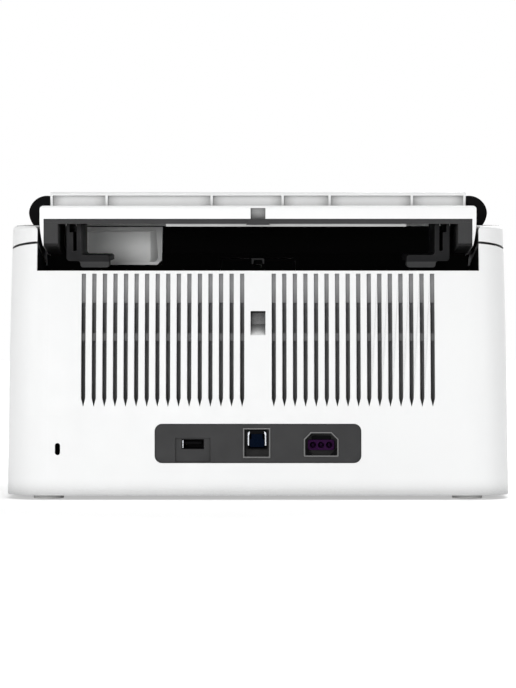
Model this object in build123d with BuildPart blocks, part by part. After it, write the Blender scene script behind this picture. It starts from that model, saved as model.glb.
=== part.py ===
from build123d import *
import os
from math import acos, asin, atan2, cos, degrees, hypot, pi, radians, sin, tan

os.makedirs("parts", exist_ok=True)

# Sheet-fed document scanner, input tray closed and hatch shut.
# X runs to the user's right, -Y faces the user, +Y is the rear, Z is up.
# The origin is at the bottom centre, on the surface under the feet. Millimetres.

# Overall sizes
body_width = 300.0
body_depth = 198.0
overall_height = 190.0
wall = 2.5
seam_gap = 1.0
fit_gap = 0.3
running_gap = 0.05

# Base casing
foot_height = 2.5
rear_straight_top = 50.0
rear_bulge_height = 100.0
rear_bulge_setback = 3.6
rear_top_setback = 13.0
shoulder_drop = 28.0
shoulder_reach = 10.0
side_lean = 2.0
rear_corner_radius = 25.0
front_corner_radius = 6.0
shoulder_edge_radius = 4.0
side_seam_inset = 42.0
cap_seam_drop = 10.3
cap_seam_slope = 9.0
cap_seam_gap = 1.4
cap_lip_depth = 5.0
arm_length = 79.0
foot_radius = 9.0
foot_inset_x = 25.0
foot_inset_y = 19.0

# Bay in the rear for the open tray
bay_side = 18.7
bay_sill_drop = 17.5
bay_sweep_gap = 1.9
liner_wall = 2.0
baffle_thickness = 1.3
baffle_height = 17.3
backing_bottom = 50.0
backing_inset = 13.5
rib_inset = 7.0
rib_drop = 35.2
rib_thickness = 4.7

# Rear vents and finger scoop
vent_count = 16
vent_pitch = 6.26
vent_first_x = 9.35
vent_width = 2.5
vent_drop = 1.8
vent_bottom = 60.0
vent_tip = 55.0
scoop_width = 8.8
scoop_drop = 22.2
scoop_height = 14.1
scoop_depth = 9.0
scoop_slit = 0.8

# Port panel, sockets and lock slot
panel_width = 122.0
panel_bottom = 21.7
panel_top = 44.9
panel_radius = 4.4
panel_recess = 0.6
panel_thickness = 2.0
usb_a_x = 38.5
usb_a_z = 32.85
usb_a_width = 13.2
usb_a_height = 5.9
usb_a_recess_width = 20.9
usb_a_recess_top = 36.6
usb_b_x = 0.8
usb_b_z = 33.55
usb_b_width = 16.2
usb_b_height = 17.7
usb_b_shell_x = 0.6
usb_b_shell_z = 35.4
usb_b_shell_width = 11.0
usb_b_shell_height = 11.1
inlet_x = -37.3
inlet_z = 32.75
inlet_width = 20.6
inlet_height = 14.7
inlet_chamfer = 4.2
inlet_plug_width = 15.6
inlet_plug_height = 6.1
inlet_plug_z = 32.35
socket_rim = 0.8
socket_well = 6.0
board_inset = 21.0
board_width = 150.0
board_height = 62.0
board_thickness = 1.6
board_chips = ((-40.0, 46.5, 14.0), (10.0, 49.5, 18.0), (48.0, 44.5, 12.0))
chip_height = 2.0
lock_slot_inset = 31.65
lock_slot_z = 30.0
lock_slot_width = 3.0
lock_slot_height = 7.1
lock_plate_width = 12.0
lock_plate_height = 16.0

# Paper path, a slanted plane seen edge-on from the side
path_inset = 18.0
path_drop = 43.0
path_length = 88.0
path_end_drop = 22.4
guide_gap = 2.4
guide_thickness = 2.0
paper_gap = 0.5
frame_inset = 13.8
frame_thickness = 2.0
guide_side_gap = 2.0
lower_window_half = 7.5
upper_window_half = 6.5
flange_start = 4.0
flange_end = 5.0
flange_depth = 14.0
flange_thickness = 2.5

# Rollers and sensors along the path
pick_s = 14.0
pick_radius = 13.0
pick_width = 40.0
separation_radius = 10.0
feed_s = 38.0
exit_s = 76.0
drive_radius = 8.0
pinch_radius = 6.0
tyre_width = 18.0
tyre_places = (-75.0, -30.0, 30.0, 75.0)
shaft_radius = 3.0
pinch_shaft_radius = 2.0
bush_radius = 5.0
sensor_s = 57.0
sensor_length = 18.0
sensor_depth = 10.0
sensor_inset = 9.0
glass_thickness = 1.2

# Gear train on the left side frame
gear_module = 1.0
gear_width = 6.0
gear_offset = 4.0
pinion_teeth = 12
idler_teeth = 30
drive_teeth = 16
relay_teeth = 12
pick_teeth = 18
motor_radius = 17.0
motor_length = 20.0
stud_radius = 2.0
motor_direction = radians(0.0)

# Input tray
tray_pivot_drop = 37.0
tray_reach = 44.2
tray_inset = 1.8
tray_front_gap = 1.5
tray_side_gap = 1.1
tray_rear_drop = 15.6
tray_front_drop = 9.0
tray_edge_height = 7.8
lid_wall = 2.2
lid_side_wall = 2.4
notch_half = 4.4
notch_height = 6.4
plate_thickness = 2.0
rest_thickness = 2.6
rest_left = 88.5
rest_right = 55.0
arm_width = 8.4
arm_drop = 2.5
pin_radius = 3.0
guide_inset = 13.2
guide_wall = 8.9
finger_tab = 16.8
guide_travel = 50.0
guide_length = 54.0
guide_rear_inset = 12.2
guide_foot_drop = 15.7
guide_lip_drop = 8.2
guide_lip_height = 3.6
rack_offset = 16.0
rack_pinion_teeth = 16
rack_height = 3.0
rack_back = 3.0
rack_tail = 14.0
rack_head = 8.0
rack_neck = 2.0
rack_cover_side = 5.3
rack_cover_wall = 1.4
rack_cover_roof = 1.2
guide_corner = 1.2
guide_neck = 0.6
guide_tab_radius = 1.8
guide_tab_length = 14.0

# Hatch
hatch_pivot_z = 34.0
hatch_nose_radius = 9.0
hatch_inset = 16.2
hatch_depth = 61.0
hatch_bottom = 46.0
hatch_shoulder_depth = 33.0
hatch_shoulder_drop = 22.0
bracket_radius = 7.0
bracket_foot = 16.0
head_inset = 2.6
head_middle_drop = 13.5
head_top_drop = 2.8
head_foot_drop = 21.4
hinge_pin_radius = 2.5
rib_places = (-99.1, -46.2, -15.9, 29.8, 97.5)
rib_height = 4.0
rib_end = 0.8
rib_width = 1.6
pocket_left = 61.1
pocket_right = 112.4
pocket_height = 24.7
pocket_drop = 23.0
pocket_rim = 2.0
pocket_slant = 7.0
pocket_chamfer = 3.0
control_panel_x = 84.0
control_panel_drop = 43.0
control_panel_width = 44.0
control_panel_height = 84.0
control_panel_radius = 6.0
control_panel_step = 1.5
button_inset = 20.4
button_drop = 72.0
button_length = 26.0
button_height = 12.0
release_travel = 3.5
tongue_width = 7.0
tongue_inset = 7.8
tongue_thickness = 2.0
tongue_length = 34.0
cover_rise = 4.2
cover_thickness = 2.0
tab_half_width = 4.0
tab_height = 3.6
tab_root = 1.5
tab_reach = 6.0
tab_wall = 1.6
tab_roof = 1.2
tab_web = 3.0

# Output tray
output_inset = 3.0
output_surface = 20.0
output_floor = 5.8
output_depth = 91.0
output_stop_length = 20.0

# Values that follow from the sizes above
half_width = body_width / 2
rear_y = body_depth / 2
front_y = -rear_y
rear_top_y = rear_y - rear_top_setback
pan_top = foot_height + 3.0
shoulder_height = overall_height - shoulder_drop
side_seam_y = rear_y - side_seam_inset
cap_seam_height = shoulder_height - cap_seam_drop
board_y = rear_y - board_inset
lock_slot_x = half_width - lock_slot_inset
bay_half_width = half_width - bay_side

hatch_half_width = half_width - hatch_inset
hatch_pivot_y = front_y + hatch_nose_radius
hatch_rear_y = front_y + hatch_depth
hatch_shoulder_y = front_y + hatch_shoulder_depth
hatch_shoulder_z = overall_height - hatch_shoulder_drop
hatch_pivot = (hatch_pivot_y, hatch_pivot_z)
head_half_width = half_width - head_inset
head_middle_z = overall_height - head_middle_drop
head_top_z = overall_height - head_top_drop
head_foot_z = overall_height - head_foot_drop
pocket_top_z = overall_height - pocket_drop
pocket_bottom_z = pocket_top_z - pocket_height
control_panel_z = hatch_shoulder_z - control_panel_drop
button_z = overall_height - button_drop
tongue_x = half_width - tongue_inset
tongue_tip_z = button_z - tongue_length

tray_rear_y = rear_top_y - tray_inset
tray_front_y = hatch_rear_y + tray_front_gap
tray_half_width = bay_half_width - tray_side_gap
tray_rear_top = overall_height - tray_rear_drop
tray_front_top = overall_height - tray_front_drop
tray_pivot_y = tray_rear_y - tray_reach
tray_pivot_z = overall_height - tray_pivot_drop
tray_pivot = (tray_pivot_y, tray_pivot_z)
arm_bottom = tray_pivot_z - arm_drop
bay_sweep_radius = hypot(tray_reach, tray_rear_top - tray_pivot_z) + bay_sweep_gap
bay_sill_height = tray_pivot_z - bay_sill_drop
shoulder_front_y = tray_pivot_y - shoulder_reach
paper_half_width = tray_half_width - lid_side_wall - arm_width - guide_inset
guide_rear_y = tray_rear_y - guide_rear_inset
guide_front_y = guide_rear_y - guide_length
guide_foot = tray_pivot_z - guide_foot_drop
guide_lip_top = tray_pivot_z - guide_lip_drop
guide_lip_bottom = guide_lip_top - guide_lip_height
rack_y = tray_pivot_y + rack_offset

vent_top = bay_sill_height - vent_drop
baffle_bottom = vent_top - baffle_height
rib_top = vent_top - rib_drop
rib_bottom = rib_top - rib_thickness
scoop_top = vent_top - scoop_drop
scoop_bottom = scoop_top - scoop_height

path_top_y = tray_pivot_y - path_inset
path_top_z = tray_pivot_z - path_drop
path_end_z = (output_surface + path_top_z) / 2 - path_end_drop
path_angle = asin((path_top_z - path_end_z) / path_length)
frame_half_width = hatch_half_width - frame_inset
guide_half_width = frame_half_width - guide_side_gap
sensor_width = 2 * (guide_half_width - sensor_inset)
gear_plane = -frame_half_width - gear_offset
output_half_width = frame_half_width - output_inset
output_rear_y = front_y + output_depth

plate_top = tray_rear_top - tray_edge_height
plate_bottom = plate_top - plate_thickness
rest_bottom = plate_bottom - rest_thickness
shaft_drop = paper_gap / 2
lid_slope = (tray_front_top - tray_rear_top) / (tray_rear_y - tray_front_y)
lid_angle = degrees(atan2(lid_slope, 1))
big = 2 * body_width


def path_point(s, t):
    """Point of the side view: s down the paper path, t off it towards the hatch."""
    y = path_top_y - s * cos(path_angle) - t * sin(path_angle)
    z = path_top_z - s * sin(path_angle) + t * cos(path_angle)
    return (y, z)


def path_strip(s_from, s_to, t_from, t_to):
    """Four corners of a strip that lies along the paper path."""
    return [
        path_point(s_from, t_from),
        path_point(s_to, t_from),
        path_point(s_to, t_to),
        path_point(s_from, t_to),
    ]


def slab(points, x_from, x_to, mode=Mode.ADD):
    """Side-view outline drawn out along X."""
    with BuildSketch(Plane.YZ.offset(x_from)) as outline:
        Polygon(*points, align=None)
    extrude(outline.sketch, amount=x_to - x_from, mode=mode)


def rod(centre, radius, x_from, x_to, mode=Mode.ADD):
    """Round bar along X, centred on a point of the side view."""
    with BuildSketch(Plane.YZ.offset(x_from)) as disc:
        with Locations(centre):
            Circle(radius)
    extrude(disc.sketch, amount=x_to - x_from, mode=mode)


def block(x, y, z, mode=Mode.ADD):
    """Box between a low and a high value on each axis."""
    with Locations(((x[0] + x[1]) / 2, (y[0] + y[1]) / 2, (z[0] + z[1]) / 2)):
        Box(x[1] - x[0], y[1] - y[0], z[1] - z[0], mode=mode)


def mirrored(x_low, x_high):
    """The same stretch of X on the right side and on the left side."""
    return ((x_low, x_high), (-x_high, -x_low))


def shoulder_top(y):
    """Height of the casing top, which rises to the front like the lid."""
    return shoulder_height + lid_slope * (rear_top_y - y)


def body_form(inset):
    """Form of the base casing, with the rear, sides and top drawn in by inset."""
    top = shoulder_height - inset
    back = rear_y - inset
    with BuildPart() as form:
        with BuildSketch(Plane.YZ.offset(-half_width)):
            with BuildLine():
                rise = Line((back, foot_height), (back, rear_straight_top))
                curve = ThreePointArc(
                    rise @ 1,
                    (back - rear_bulge_setback, rear_bulge_height),
                    (back - rear_top_setback, top),
                )
                Polyline(
                    curve @ 1,
                    (front_y + inset, shoulder_top(front_y) - inset),
                    (front_y + inset, foot_height),
                    rise @ 0,
                )
            make_face()
        extrude(amount=body_width)
        lean_share = (overall_height - foot_height) / (shoulder_height - foot_height)
        upper_half = half_width - side_lean * lean_share - inset
        with BuildSketch(Plane.XZ.offset(-big)):
            Polygon(
                (-half_width + inset, foot_height),
                (half_width - inset, foot_height),
                (upper_half, overall_height),
                (-upper_half, overall_height),
                align=None,
            )
        extrude(amount=2 * big, mode=Mode.INTERSECT)
        uprights = [e for e in form.edges() if abs((e @ 0).Z - (e @ 1).Z) > 2 * inset + 30]
        fillet([e for e in uprights if e.center().Y > 0], rear_corner_radius - inset)
        fillet([e for e in uprights if e.center().Y < 0], front_corner_radius - inset)
    return form.part


def seam_height(y):
    """Height of the tilted seam under the shoulder caps."""
    return cap_seam_height - tan(radians(cap_seam_slope)) * (rear_top_y - y)


# Side-view line where the hatch meets the base, from the shoulder to the hinge nose
seam_run = hatch_nose_radius + fit_gap * 2
seam_foot = (hatch_pivot_y + seam_run, hatch_pivot_z)
seam_head = (shoulder_front_y, shoulder_top(shoulder_front_y))
arm_top = hatch_pivot_z - hatch_nose_radius + fit_gap


def seam_y(z):
    """Y of the line between the hatch and the base at a height."""
    share = (z - seam_foot[1]) / (seam_head[1] - seam_foot[1])
    return seam_foot[0] + share * (seam_head[0] - seam_foot[0])


button_y = seam_y(button_z) - button_inset
casing_outer = body_form(0)
casing_inner = body_form(wall)


def cut_hatch_space():
    """Clears the room above the seam line and round the hinge nose."""
    slab(
        [
            (seam_head[0], big),
            seam_head,
            seam_foot,
            (seam_foot[0], arm_top),
            (front_y - wall, arm_top),
            (front_y - wall, big),
        ],
        -big,
        big,
        mode=Mode.SUBTRACT,
    )
    rod(hatch_pivot, seam_run, -big, big, mode=Mode.SUBTRACT)


def below_cap_seam(offset, mode):
    """Half space under the tilted seam of the shoulder caps."""
    slab(
        [
            (big, seam_height(big) + offset),
            (-big, seam_height(-big) + offset),
            (-big, -big),
            (big, -big),
        ],
        -big,
        big,
        mode=mode,
    )


# Rear cover: moulded shell with vents, scoop, port window and lock slot
with BuildPart() as rear_cover:
    add(casing_outer)
    add(casing_inner, mode=Mode.SUBTRACT)
    block((-big, big), (side_seam_y, big), (0, big), mode=Mode.INTERSECT)
    below_cap_seam(0, Mode.INTERSECT)
    bay_x = (-bay_half_width, bay_half_width)
    block(bay_x, (0, big), (bay_sill_height, big), mode=Mode.SUBTRACT)
    scoop_y = rear_y - rear_bulge_setback - scoop_depth - wall
    with BuildPart(mode=Mode.PRIVATE) as scoop_box:
        block(
            (-scoop_width / 2 - wall, scoop_width / 2 + wall),
            (scoop_y, big),
            (scoop_bottom - wall, scoop_top - scoop_slit),
        )
        add(casing_outer, mode=Mode.INTERSECT)
    add(scoop_box.part)
    slab(
        [
            (rear_y, scoop_bottom - wall),
            (rear_y - rear_bulge_setback, scoop_bottom),
            (scoop_y + 3.4, scoop_bottom + 0.45 * (scoop_top - scoop_bottom)),
            (scoop_y + wall, scoop_top),
            (rear_y, scoop_top),
        ],
        -scoop_width / 2,
        scoop_width / 2,
        mode=Mode.SUBTRACT,
    )
    vent_places = [
        (side * (vent_first_x + vent_pitch * step), 0)
        for step in range(vent_count)
        for side in (-1, 1)
    ]
    with BuildSketch(Plane.XZ.offset(-big)):
        with Locations(*vent_places):
            Polygon(
                (-vent_width / 2, vent_top),
                (vent_width / 2, vent_top),
                (vent_width / 2, vent_bottom),
                (0, vent_tip),
                (-vent_width / 2, vent_bottom),
                align=None,
            )
    extrude(amount=big - board_y, mode=Mode.SUBTRACT)
    with BuildSketch(Plane.XZ.offset(-big)):
        with Locations((0, (panel_bottom + panel_top) / 2)):
            RectangleRounded(panel_width, panel_top - panel_bottom, panel_radius)
        with Locations((lock_slot_x, lock_slot_z)):
            SlotOverall(lock_slot_height, lock_slot_width, rotation=90)
    extrude(amount=big - board_y, mode=Mode.SUBTRACT)

# Side covers: side walls with the front arms that carry the hatch hinge
with BuildPart() as side_cover_right:
    add(casing_outer)
    add(casing_inner, mode=Mode.SUBTRACT)
    block((frame_half_width + 6, big), (-big, side_seam_y - fit_gap), (0, big), mode=Mode.INTERSECT)
    below_cap_seam(0, Mode.INTERSECT)
    arm_inner_x = frame_half_width + 6
    block(
        (arm_inner_x, arm_inner_x + wall),
        (front_y + wall, front_y + arm_length),
        (pan_top, arm_top),
    )
    catch_x = tongue_x + tongue_thickness + 0.4
    catch_y = (button_y - tongue_width / 2 - 2, button_y + tongue_width / 2)
    block((catch_x, catch_x + 3.4), catch_y, (tongue_tip_z - 2, tongue_tip_z + 4))
    cut_hatch_space()

with BuildPart() as side_cover_left:
    mirror(side_cover_right.part, about=Plane.YZ)

# Shoulder caps: the raised corners each side of the bay
with BuildPart() as shoulder_cap_right:
    add(casing_outer)
    block((bay_half_width, big), (-big, big), (0, big), mode=Mode.INTERSECT)
    below_cap_seam(cap_seam_gap, Mode.SUBTRACT)
    cut_hatch_space()
    cap_crown = shoulder_cap_right.faces().sort_by(Axis.Z)[-1].edges()
    fillet(cap_crown, shoulder_edge_radius - 1.5)
    with BuildPart(mode=Mode.PRIVATE) as cap_hollow:
        add(casing_inner)
        block((bay_half_width + wall, big), (-big, big), (0, big), mode=Mode.INTERSECT)
        slab(
            [(seam_y(big) + 2 * wall, big), (seam_y(0) + 2 * wall, 0), (big, 0), (big, big)],
            -big,
            big,
            mode=Mode.INTERSECT,
        )
    add(cap_hollow.part, mode=Mode.SUBTRACT)
    with BuildPart(mode=Mode.PRIVATE) as cap_lip:
        add(casing_inner)
        add(body_form(wall + baffle_thickness), mode=Mode.SUBTRACT)
        block((bay_half_width, big), (-big, side_seam_y), (0, big), mode=Mode.INTERSECT)
        below_cap_seam(cap_seam_gap + 1, Mode.INTERSECT)
        below_cap_seam(-cap_lip_depth, Mode.SUBTRACT)
        cut_hatch_space()
    add(cap_lip.part)
    boss_end = bay_half_width + wall + 4
    rod(tray_pivot, pin_radius + wall, bay_half_width, boss_end)
    rod(tray_pivot, pin_radius + running_gap, 0, boss_end + 1, mode=Mode.SUBTRACT)

with BuildPart() as shoulder_cap_left:
    mirror(shoulder_cap_right.part, about=Plane.YZ)

# Bay liner: black trough that follows the sweep of the opening tray
liner_start = radians(-20.0)
liner_end = radians(-108.0)
liner_outer = bay_sweep_radius + liner_wall


def around_tray(radius, angle):
    """Point of the side view at a radius and an angle about the tray hinge."""
    return (tray_pivot_y + radius * cos(angle), tray_pivot_z + radius * sin(angle))


with BuildPart() as bay_liner:
    with BuildSketch(Plane.YZ.offset(-bay_half_width)):
        with BuildLine():
            middle = (liner_start + liner_end) / 2
            trough = ThreePointArc(
                around_tray(bay_sweep_radius, liner_start),
                around_tray(bay_sweep_radius, middle),
                around_tray(bay_sweep_radius, liner_end),
            )
            back = ThreePointArc(
                around_tray(liner_outer, liner_end),
                around_tray(liner_outer, middle),
                around_tray(liner_outer, liner_start),
            )
            Line(trough @ 1, back @ 0)
            Line(back @ 1, trough @ 0)
        make_face()
    extrude(amount=2 * bay_half_width)
    for x_low, x_high in mirrored(bay_half_width, bay_half_width + liner_wall):
        slab(
            [
                around_tray(liner_outer, liner_start),
                around_tray(liner_outer, radians(-45)),
                around_tray(liner_outer, radians(-70)),
                around_tray(liner_outer, radians(-90)),
                around_tray(liner_outer, liner_end),
                (shoulder_front_y - 4, seam_height(shoulder_front_y) - 1),
                (rear_top_y - wall - 1, seam_height(rear_top_y - wall) - 1),
            ],
            x_low,
            x_high,
        )
    add(body_form(wall + baffle_thickness), mode=Mode.INTERSECT)
    block(
        (-pick_width / 2 - 2, pick_width / 2 + 2),
        (-big, path_top_y + pick_radius + 4),
        (0, big),
        mode=Mode.SUBTRACT,
    )

# Vent baffle: what shows through the vents
baffle_half_width = vent_first_x + vent_pitch * vent_count
with BuildPart() as vent_baffle:
    backing_y = rear_y - backing_inset
    baffle_x = (-baffle_half_width, baffle_half_width)
    block(baffle_x, (backing_y, rear_y - rib_inset), (rib_bottom, rib_top))
    block(baffle_x, (backing_y - baffle_thickness, backing_y), (backing_bottom, baffle_bottom))
    block(
        baffle_x,
        (backing_y - baffle_thickness, big),
        (baffle_bottom, baffle_bottom + baffle_thickness),
    )
    add(casing_inner, mode=Mode.INTERSECT)
    with BuildPart(mode=Mode.PRIVATE) as upper_skin:
        add(casing_inner)
        add(body_form(wall + baffle_thickness), mode=Mode.SUBTRACT)
        block(baffle_x, (side_seam_y, big), (baffle_bottom, bay_sill_height - 0.8), mode=Mode.INTERSECT)
    add(upper_skin.part)
    block(
        (-scoop_width / 2 - wall - fit_gap, scoop_width / 2 + wall + fit_gap),
        (scoop_y - fit_gap, big),
        (0, baffle_bottom - fit_gap),
        mode=Mode.SUBTRACT,
    )

# Base pan: bottom plate with runners for the output tray
with BuildPart() as base_pan:
    add(casing_inner)
    block((-big, big), (-big, big), (0, pan_top), mode=Mode.INTERSECT)
    block((-arm_inner_x, arm_inner_x), (front_y, front_y + wall + 1), (foot_height, output_floor - 0.6))
    for x_low, x_high in mirrored(output_half_width + fit_gap, output_half_width + 2.5):
        block((x_low, x_high), (front_y + 4, output_rear_y), (pan_top, output_surface))
    for x_low, x_high in mirrored(arm_inner_x - 6, arm_inner_x):
        block((x_low, x_high), (front_y, front_y + wall), (foot_height, output_surface))

# Feet: four rubber pads
foot_x = half_width - foot_inset_x
foot_y = rear_y - foot_inset_y
foot_places = [(x, y) for x in (-foot_x, foot_x) for y in (-foot_y, foot_y)]
with BuildPart() as feet:
    with Locations(*[(x, y, foot_height / 2) for x, y in foot_places]):
        Cylinder(foot_radius, foot_height)
    fillet(feet.edges().group_by(Axis.Z)[0], 0.6)

# Side frames: plates that carry the roller shafts
pick_centre = path_point(pick_s, -shaft_drop - pick_radius)
feed_centre = path_point(feed_s, -shaft_drop - drive_radius)
exit_centre = path_point(exit_s, -shaft_drop - drive_radius)
frame_rear_y = board_y - 6
frame_outline = [
    (frame_rear_y, pan_top),
    (frame_rear_y, path_top_z - 3),
    around_tray(liner_outer + 1.5, radians(-66)),
    around_tray(liner_outer + 1.5, radians(-80)),
    around_tray(liner_outer + 1.5, radians(-94)),
    path_point(7, -4.5),
    path_point(path_length, -4.5),
    (path_point(path_length, 0)[0], pan_top),
]


def gear_centre(first, first_radius, second, second_radius, side):
    """Centre that lies at two given distances from two other centres."""
    span = hypot(second[0] - first[0], second[1] - first[1])
    along = (first_radius**2 - second_radius**2 + span**2) / (2 * span)
    turn = acos(along / first_radius) * side
    heading = atan2(second[1] - first[1], second[0] - first[0]) + turn
    return (first[0] + first_radius * cos(heading), first[1] + first_radius * sin(heading))


def pitch(teeth):
    """Pitch radius of a gear."""
    return gear_module * teeth / 2


mesh = 0.05
idler_reach = pitch(idler_teeth) + pitch(drive_teeth) + mesh
idler_centre = gear_centre(feed_centre, idler_reach, exit_centre, idler_reach, 1)
relay_centre = gear_centre(
    feed_centre,
    pitch(drive_teeth) + pitch(relay_teeth) + mesh,
    pick_centre,
    pitch(pick_teeth) + pitch(relay_teeth) + mesh,
    -1,
)
motor_reach = pitch(idler_teeth) + pitch(pinion_teeth) + mesh
motor_centre = (
    idler_centre[0] + motor_reach * cos(motor_direction),
    idler_centre[1] + motor_reach * sin(motor_direction),
)

with BuildPart() as side_frames:
    for x_low, x_high in mirrored(frame_half_width, frame_half_width + frame_thickness):
        slab(frame_outline, x_low, x_high)
    for x_low, x_high in mirrored(frame_half_width - 10, frame_half_width):
        block((x_low, x_high), (output_rear_y + 13, frame_rear_y - 12), (pan_top, pan_top + 3))
    for centre in (pick_centre, feed_centre, exit_centre):
        rod(centre, bush_radius, -big, big, mode=Mode.SUBTRACT)
    rod(motor_centre, pitch(pinion_teeth) + 1, 0, -big, mode=Mode.SUBTRACT)
    for centre in (idler_centre, relay_centre):
        rod(centre, stud_radius, -frame_half_width - 1, gear_plane - gear_width - fit_gap)
        rod(centre, 3, gear_plane - gear_width - fit_gap, gear_plane - gear_width - 1.5)

# Shaft bushes, pressed into the side frames
with BuildPart() as shaft_bushes:
    for centre in (pick_centre, feed_centre, exit_centre):
        for x_low, x_high in mirrored(frame_half_width - 1, frame_half_width + frame_thickness + 1):
            rod(centre, bush_radius, x_low, x_high)
            rod(centre, shaft_radius + running_gap, x_low - 1, x_high + 1, mode=Mode.SUBTRACT)

# Lower paper guide with windows for rollers and sensor
guide_face = guide_gap / 2
guide_back = guide_face + guide_thickness


def cut_windows(near, far, half_length):
    """Openings in a paper guide for the tyres and the sensor glass."""
    with_pick = pick_width / 2 + 2
    slab(path_strip(0, pick_s + 12, near, far), -with_pick, with_pick, mode=Mode.SUBTRACT)
    for s in (feed_s, exit_s):
        for x in tyre_places:
            reach = tyre_width / 2 + 2
            slab(
                path_strip(s - half_length, s + half_length, near, far),
                x - reach,
                x + reach,
                mode=Mode.SUBTRACT,
            )
    window = sensor_width / 2
    slab(
        path_strip(sensor_s - sensor_length / 2, sensor_s + sensor_length / 2, near, far),
        -window,
        window,
        mode=Mode.SUBTRACT,
    )


with BuildPart() as lower_paper_guide:
    slab(
        path_strip(3, path_length, -guide_face, -guide_back),
        -frame_half_width,
        frame_half_width,
    )
    cut_windows(0, -guide_back - 1, lower_window_half)

# Image sensors, one behind each paper guide
with BuildPart() as rear_sensor:
    s_from = sensor_s - sensor_length / 2
    s_to = sensor_s + sensor_length / 2
    glass_face = guide_face - 0.4
    slab(
        path_strip(s_from, s_to, -glass_face - glass_thickness, -glass_face - sensor_depth),
        -sensor_width / 2,
        sensor_width / 2,
    )
    for x_low, x_high in mirrored(sensor_width / 2, frame_half_width):
        slab(path_strip(s_from + 4, s_to - 4, -guide_back, -sensor_depth), x_low, x_high)
with BuildPart() as rear_sensor_glass:
    slab(
        path_strip(s_from, s_to, -glass_face, -glass_face - glass_thickness),
        -sensor_width / 2,
        sensor_width / 2,
    )
# Tyres on the roller shafts of the base
with BuildPart() as pick_tyre:
    rod(pick_centre, pick_radius, -pick_width / 2, pick_width / 2)
    rod(pick_centre, shaft_radius, -big, big, mode=Mode.SUBTRACT)


def tyres(centre, radius, bore):
    """Rubber tyres side by side on one shaft."""
    for x in tyre_places:
        rod(centre, radius, x - tyre_width / 2, x + tyre_width / 2)
    rod(centre, bore, -big, big, mode=Mode.SUBTRACT)


with BuildPart() as feed_tyres:
    tyres(feed_centre, drive_radius, shaft_radius)
with BuildPart() as exit_tyres:
    tyres(exit_centre, drive_radius, shaft_radius)


# Gears
tooth_tip = 0.9 * gear_module
tooth_root = 1.15 * gear_module
tip_share = 0.09
root_share = 0.29


def gear_points(teeth, phase):
    """Outline of a spur gear about its own centre, one tooth at the phase angle."""
    points = []
    step = 2 * pi / teeth
    outline = (
        (-root_share, -tooth_root),
        (-tip_share, tooth_tip),
        (tip_share, tooth_tip),
        (root_share, -tooth_root),
    )
    for tooth in range(teeth):
        for share, reach in outline:
            angle = phase + (tooth + share) * step
            radius = pitch(teeth) + reach
            points.append((radius * cos(angle), radius * sin(angle)))
    return points


def gear(centre, teeth, phase, bore):
    """Spur gear along X in the gear plane."""
    points = [(centre[0] + y, centre[1] + z) for y, z in gear_points(teeth, phase)]
    slab(points, gear_plane - gear_width, gear_plane)
    if bore:
        rod(centre, bore, gear_plane - gear_width, gear_plane, mode=Mode.SUBTRACT)


def meshing_phase(first, first_teeth, first_phase, second, second_teeth):
    """Phase that puts a gap of the second gear on a tooth of the first one."""
    bearing = atan2(second[1] - first[1], second[0] - first[0])
    turned = (bearing - first_phase) * first_teeth / (2 * pi)
    return bearing + pi + (0.5 + turned) * 2 * pi / second_teeth


pinion_phase = 0.0
idler_phase = meshing_phase(motor_centre, pinion_teeth, pinion_phase, idler_centre, idler_teeth)
feed_phase = meshing_phase(idler_centre, idler_teeth, idler_phase, feed_centre, drive_teeth)
exit_phase = meshing_phase(idler_centre, idler_teeth, idler_phase, exit_centre, drive_teeth)
relay_phase = meshing_phase(feed_centre, drive_teeth, feed_phase, relay_centre, relay_teeth)
pick_phase = meshing_phase(relay_centre, relay_teeth, relay_phase, pick_centre, pick_teeth)

with BuildPart() as motor_pinion:
    gear(motor_centre, pinion_teeth, pinion_phase, 0)
    rod(motor_centre, stud_radius, gear_plane - gear_width, -frame_half_width + 8)
with BuildPart() as idler_gear:
    gear(idler_centre, idler_teeth, idler_phase, stud_radius + running_gap)
with BuildPart() as relay_gear:
    gear(relay_centre, relay_teeth, relay_phase, stud_radius + running_gap)


def geared_shaft(centre, teeth, phase):
    """Moulded roller shaft with its gear on the left end."""
    with BuildPart() as shaft:
        rod(centre, shaft_radius, gear_plane - gear_width - 2, frame_half_width + 3)
        gear(centre, teeth, phase, 0)
    return shaft


pick_shaft = geared_shaft(pick_centre, pick_teeth, pick_phase)
feed_shaft = geared_shaft(feed_centre, drive_teeth, feed_phase)
exit_shaft = geared_shaft(exit_centre, drive_teeth, exit_phase)

# Drive motor on the inside of the left frame
with BuildPart() as drive_motor:
    rod(motor_centre, motor_radius, -frame_half_width, -frame_half_width + motor_length)
    bearing_end = -frame_half_width + 9
    rod(motor_centre, stud_radius + running_gap, -frame_half_width, bearing_end, mode=Mode.SUBTRACT)

# Port panel with its wells, and the sockets
panel_y = rear_y - panel_recess


def usb_b_outline(inset):
    """Square well of the USB-B socket, at its rim."""
    with BuildSketch(Plane.XZ.offset(-panel_y - socket_rim / 2)) as square:
        with Locations((usb_b_x, usb_b_z)):
            Rectangle(usb_b_width - 2 * inset, usb_b_height - 2 * inset)
    return square.sketch


def inlet_outline(inset):
    """Well of the power inlet with its cut corners, at its rim."""
    with BuildSketch(Plane.XZ.offset(-panel_y - socket_rim / 2)) as well:
        with Locations((inlet_x, inlet_z)):
            Rectangle(inlet_width - 2 * inset, inlet_height - 2 * inset)
        chamfer(well.vertices(), inlet_chamfer - 0.6 * inset)
    return well.sketch


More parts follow.
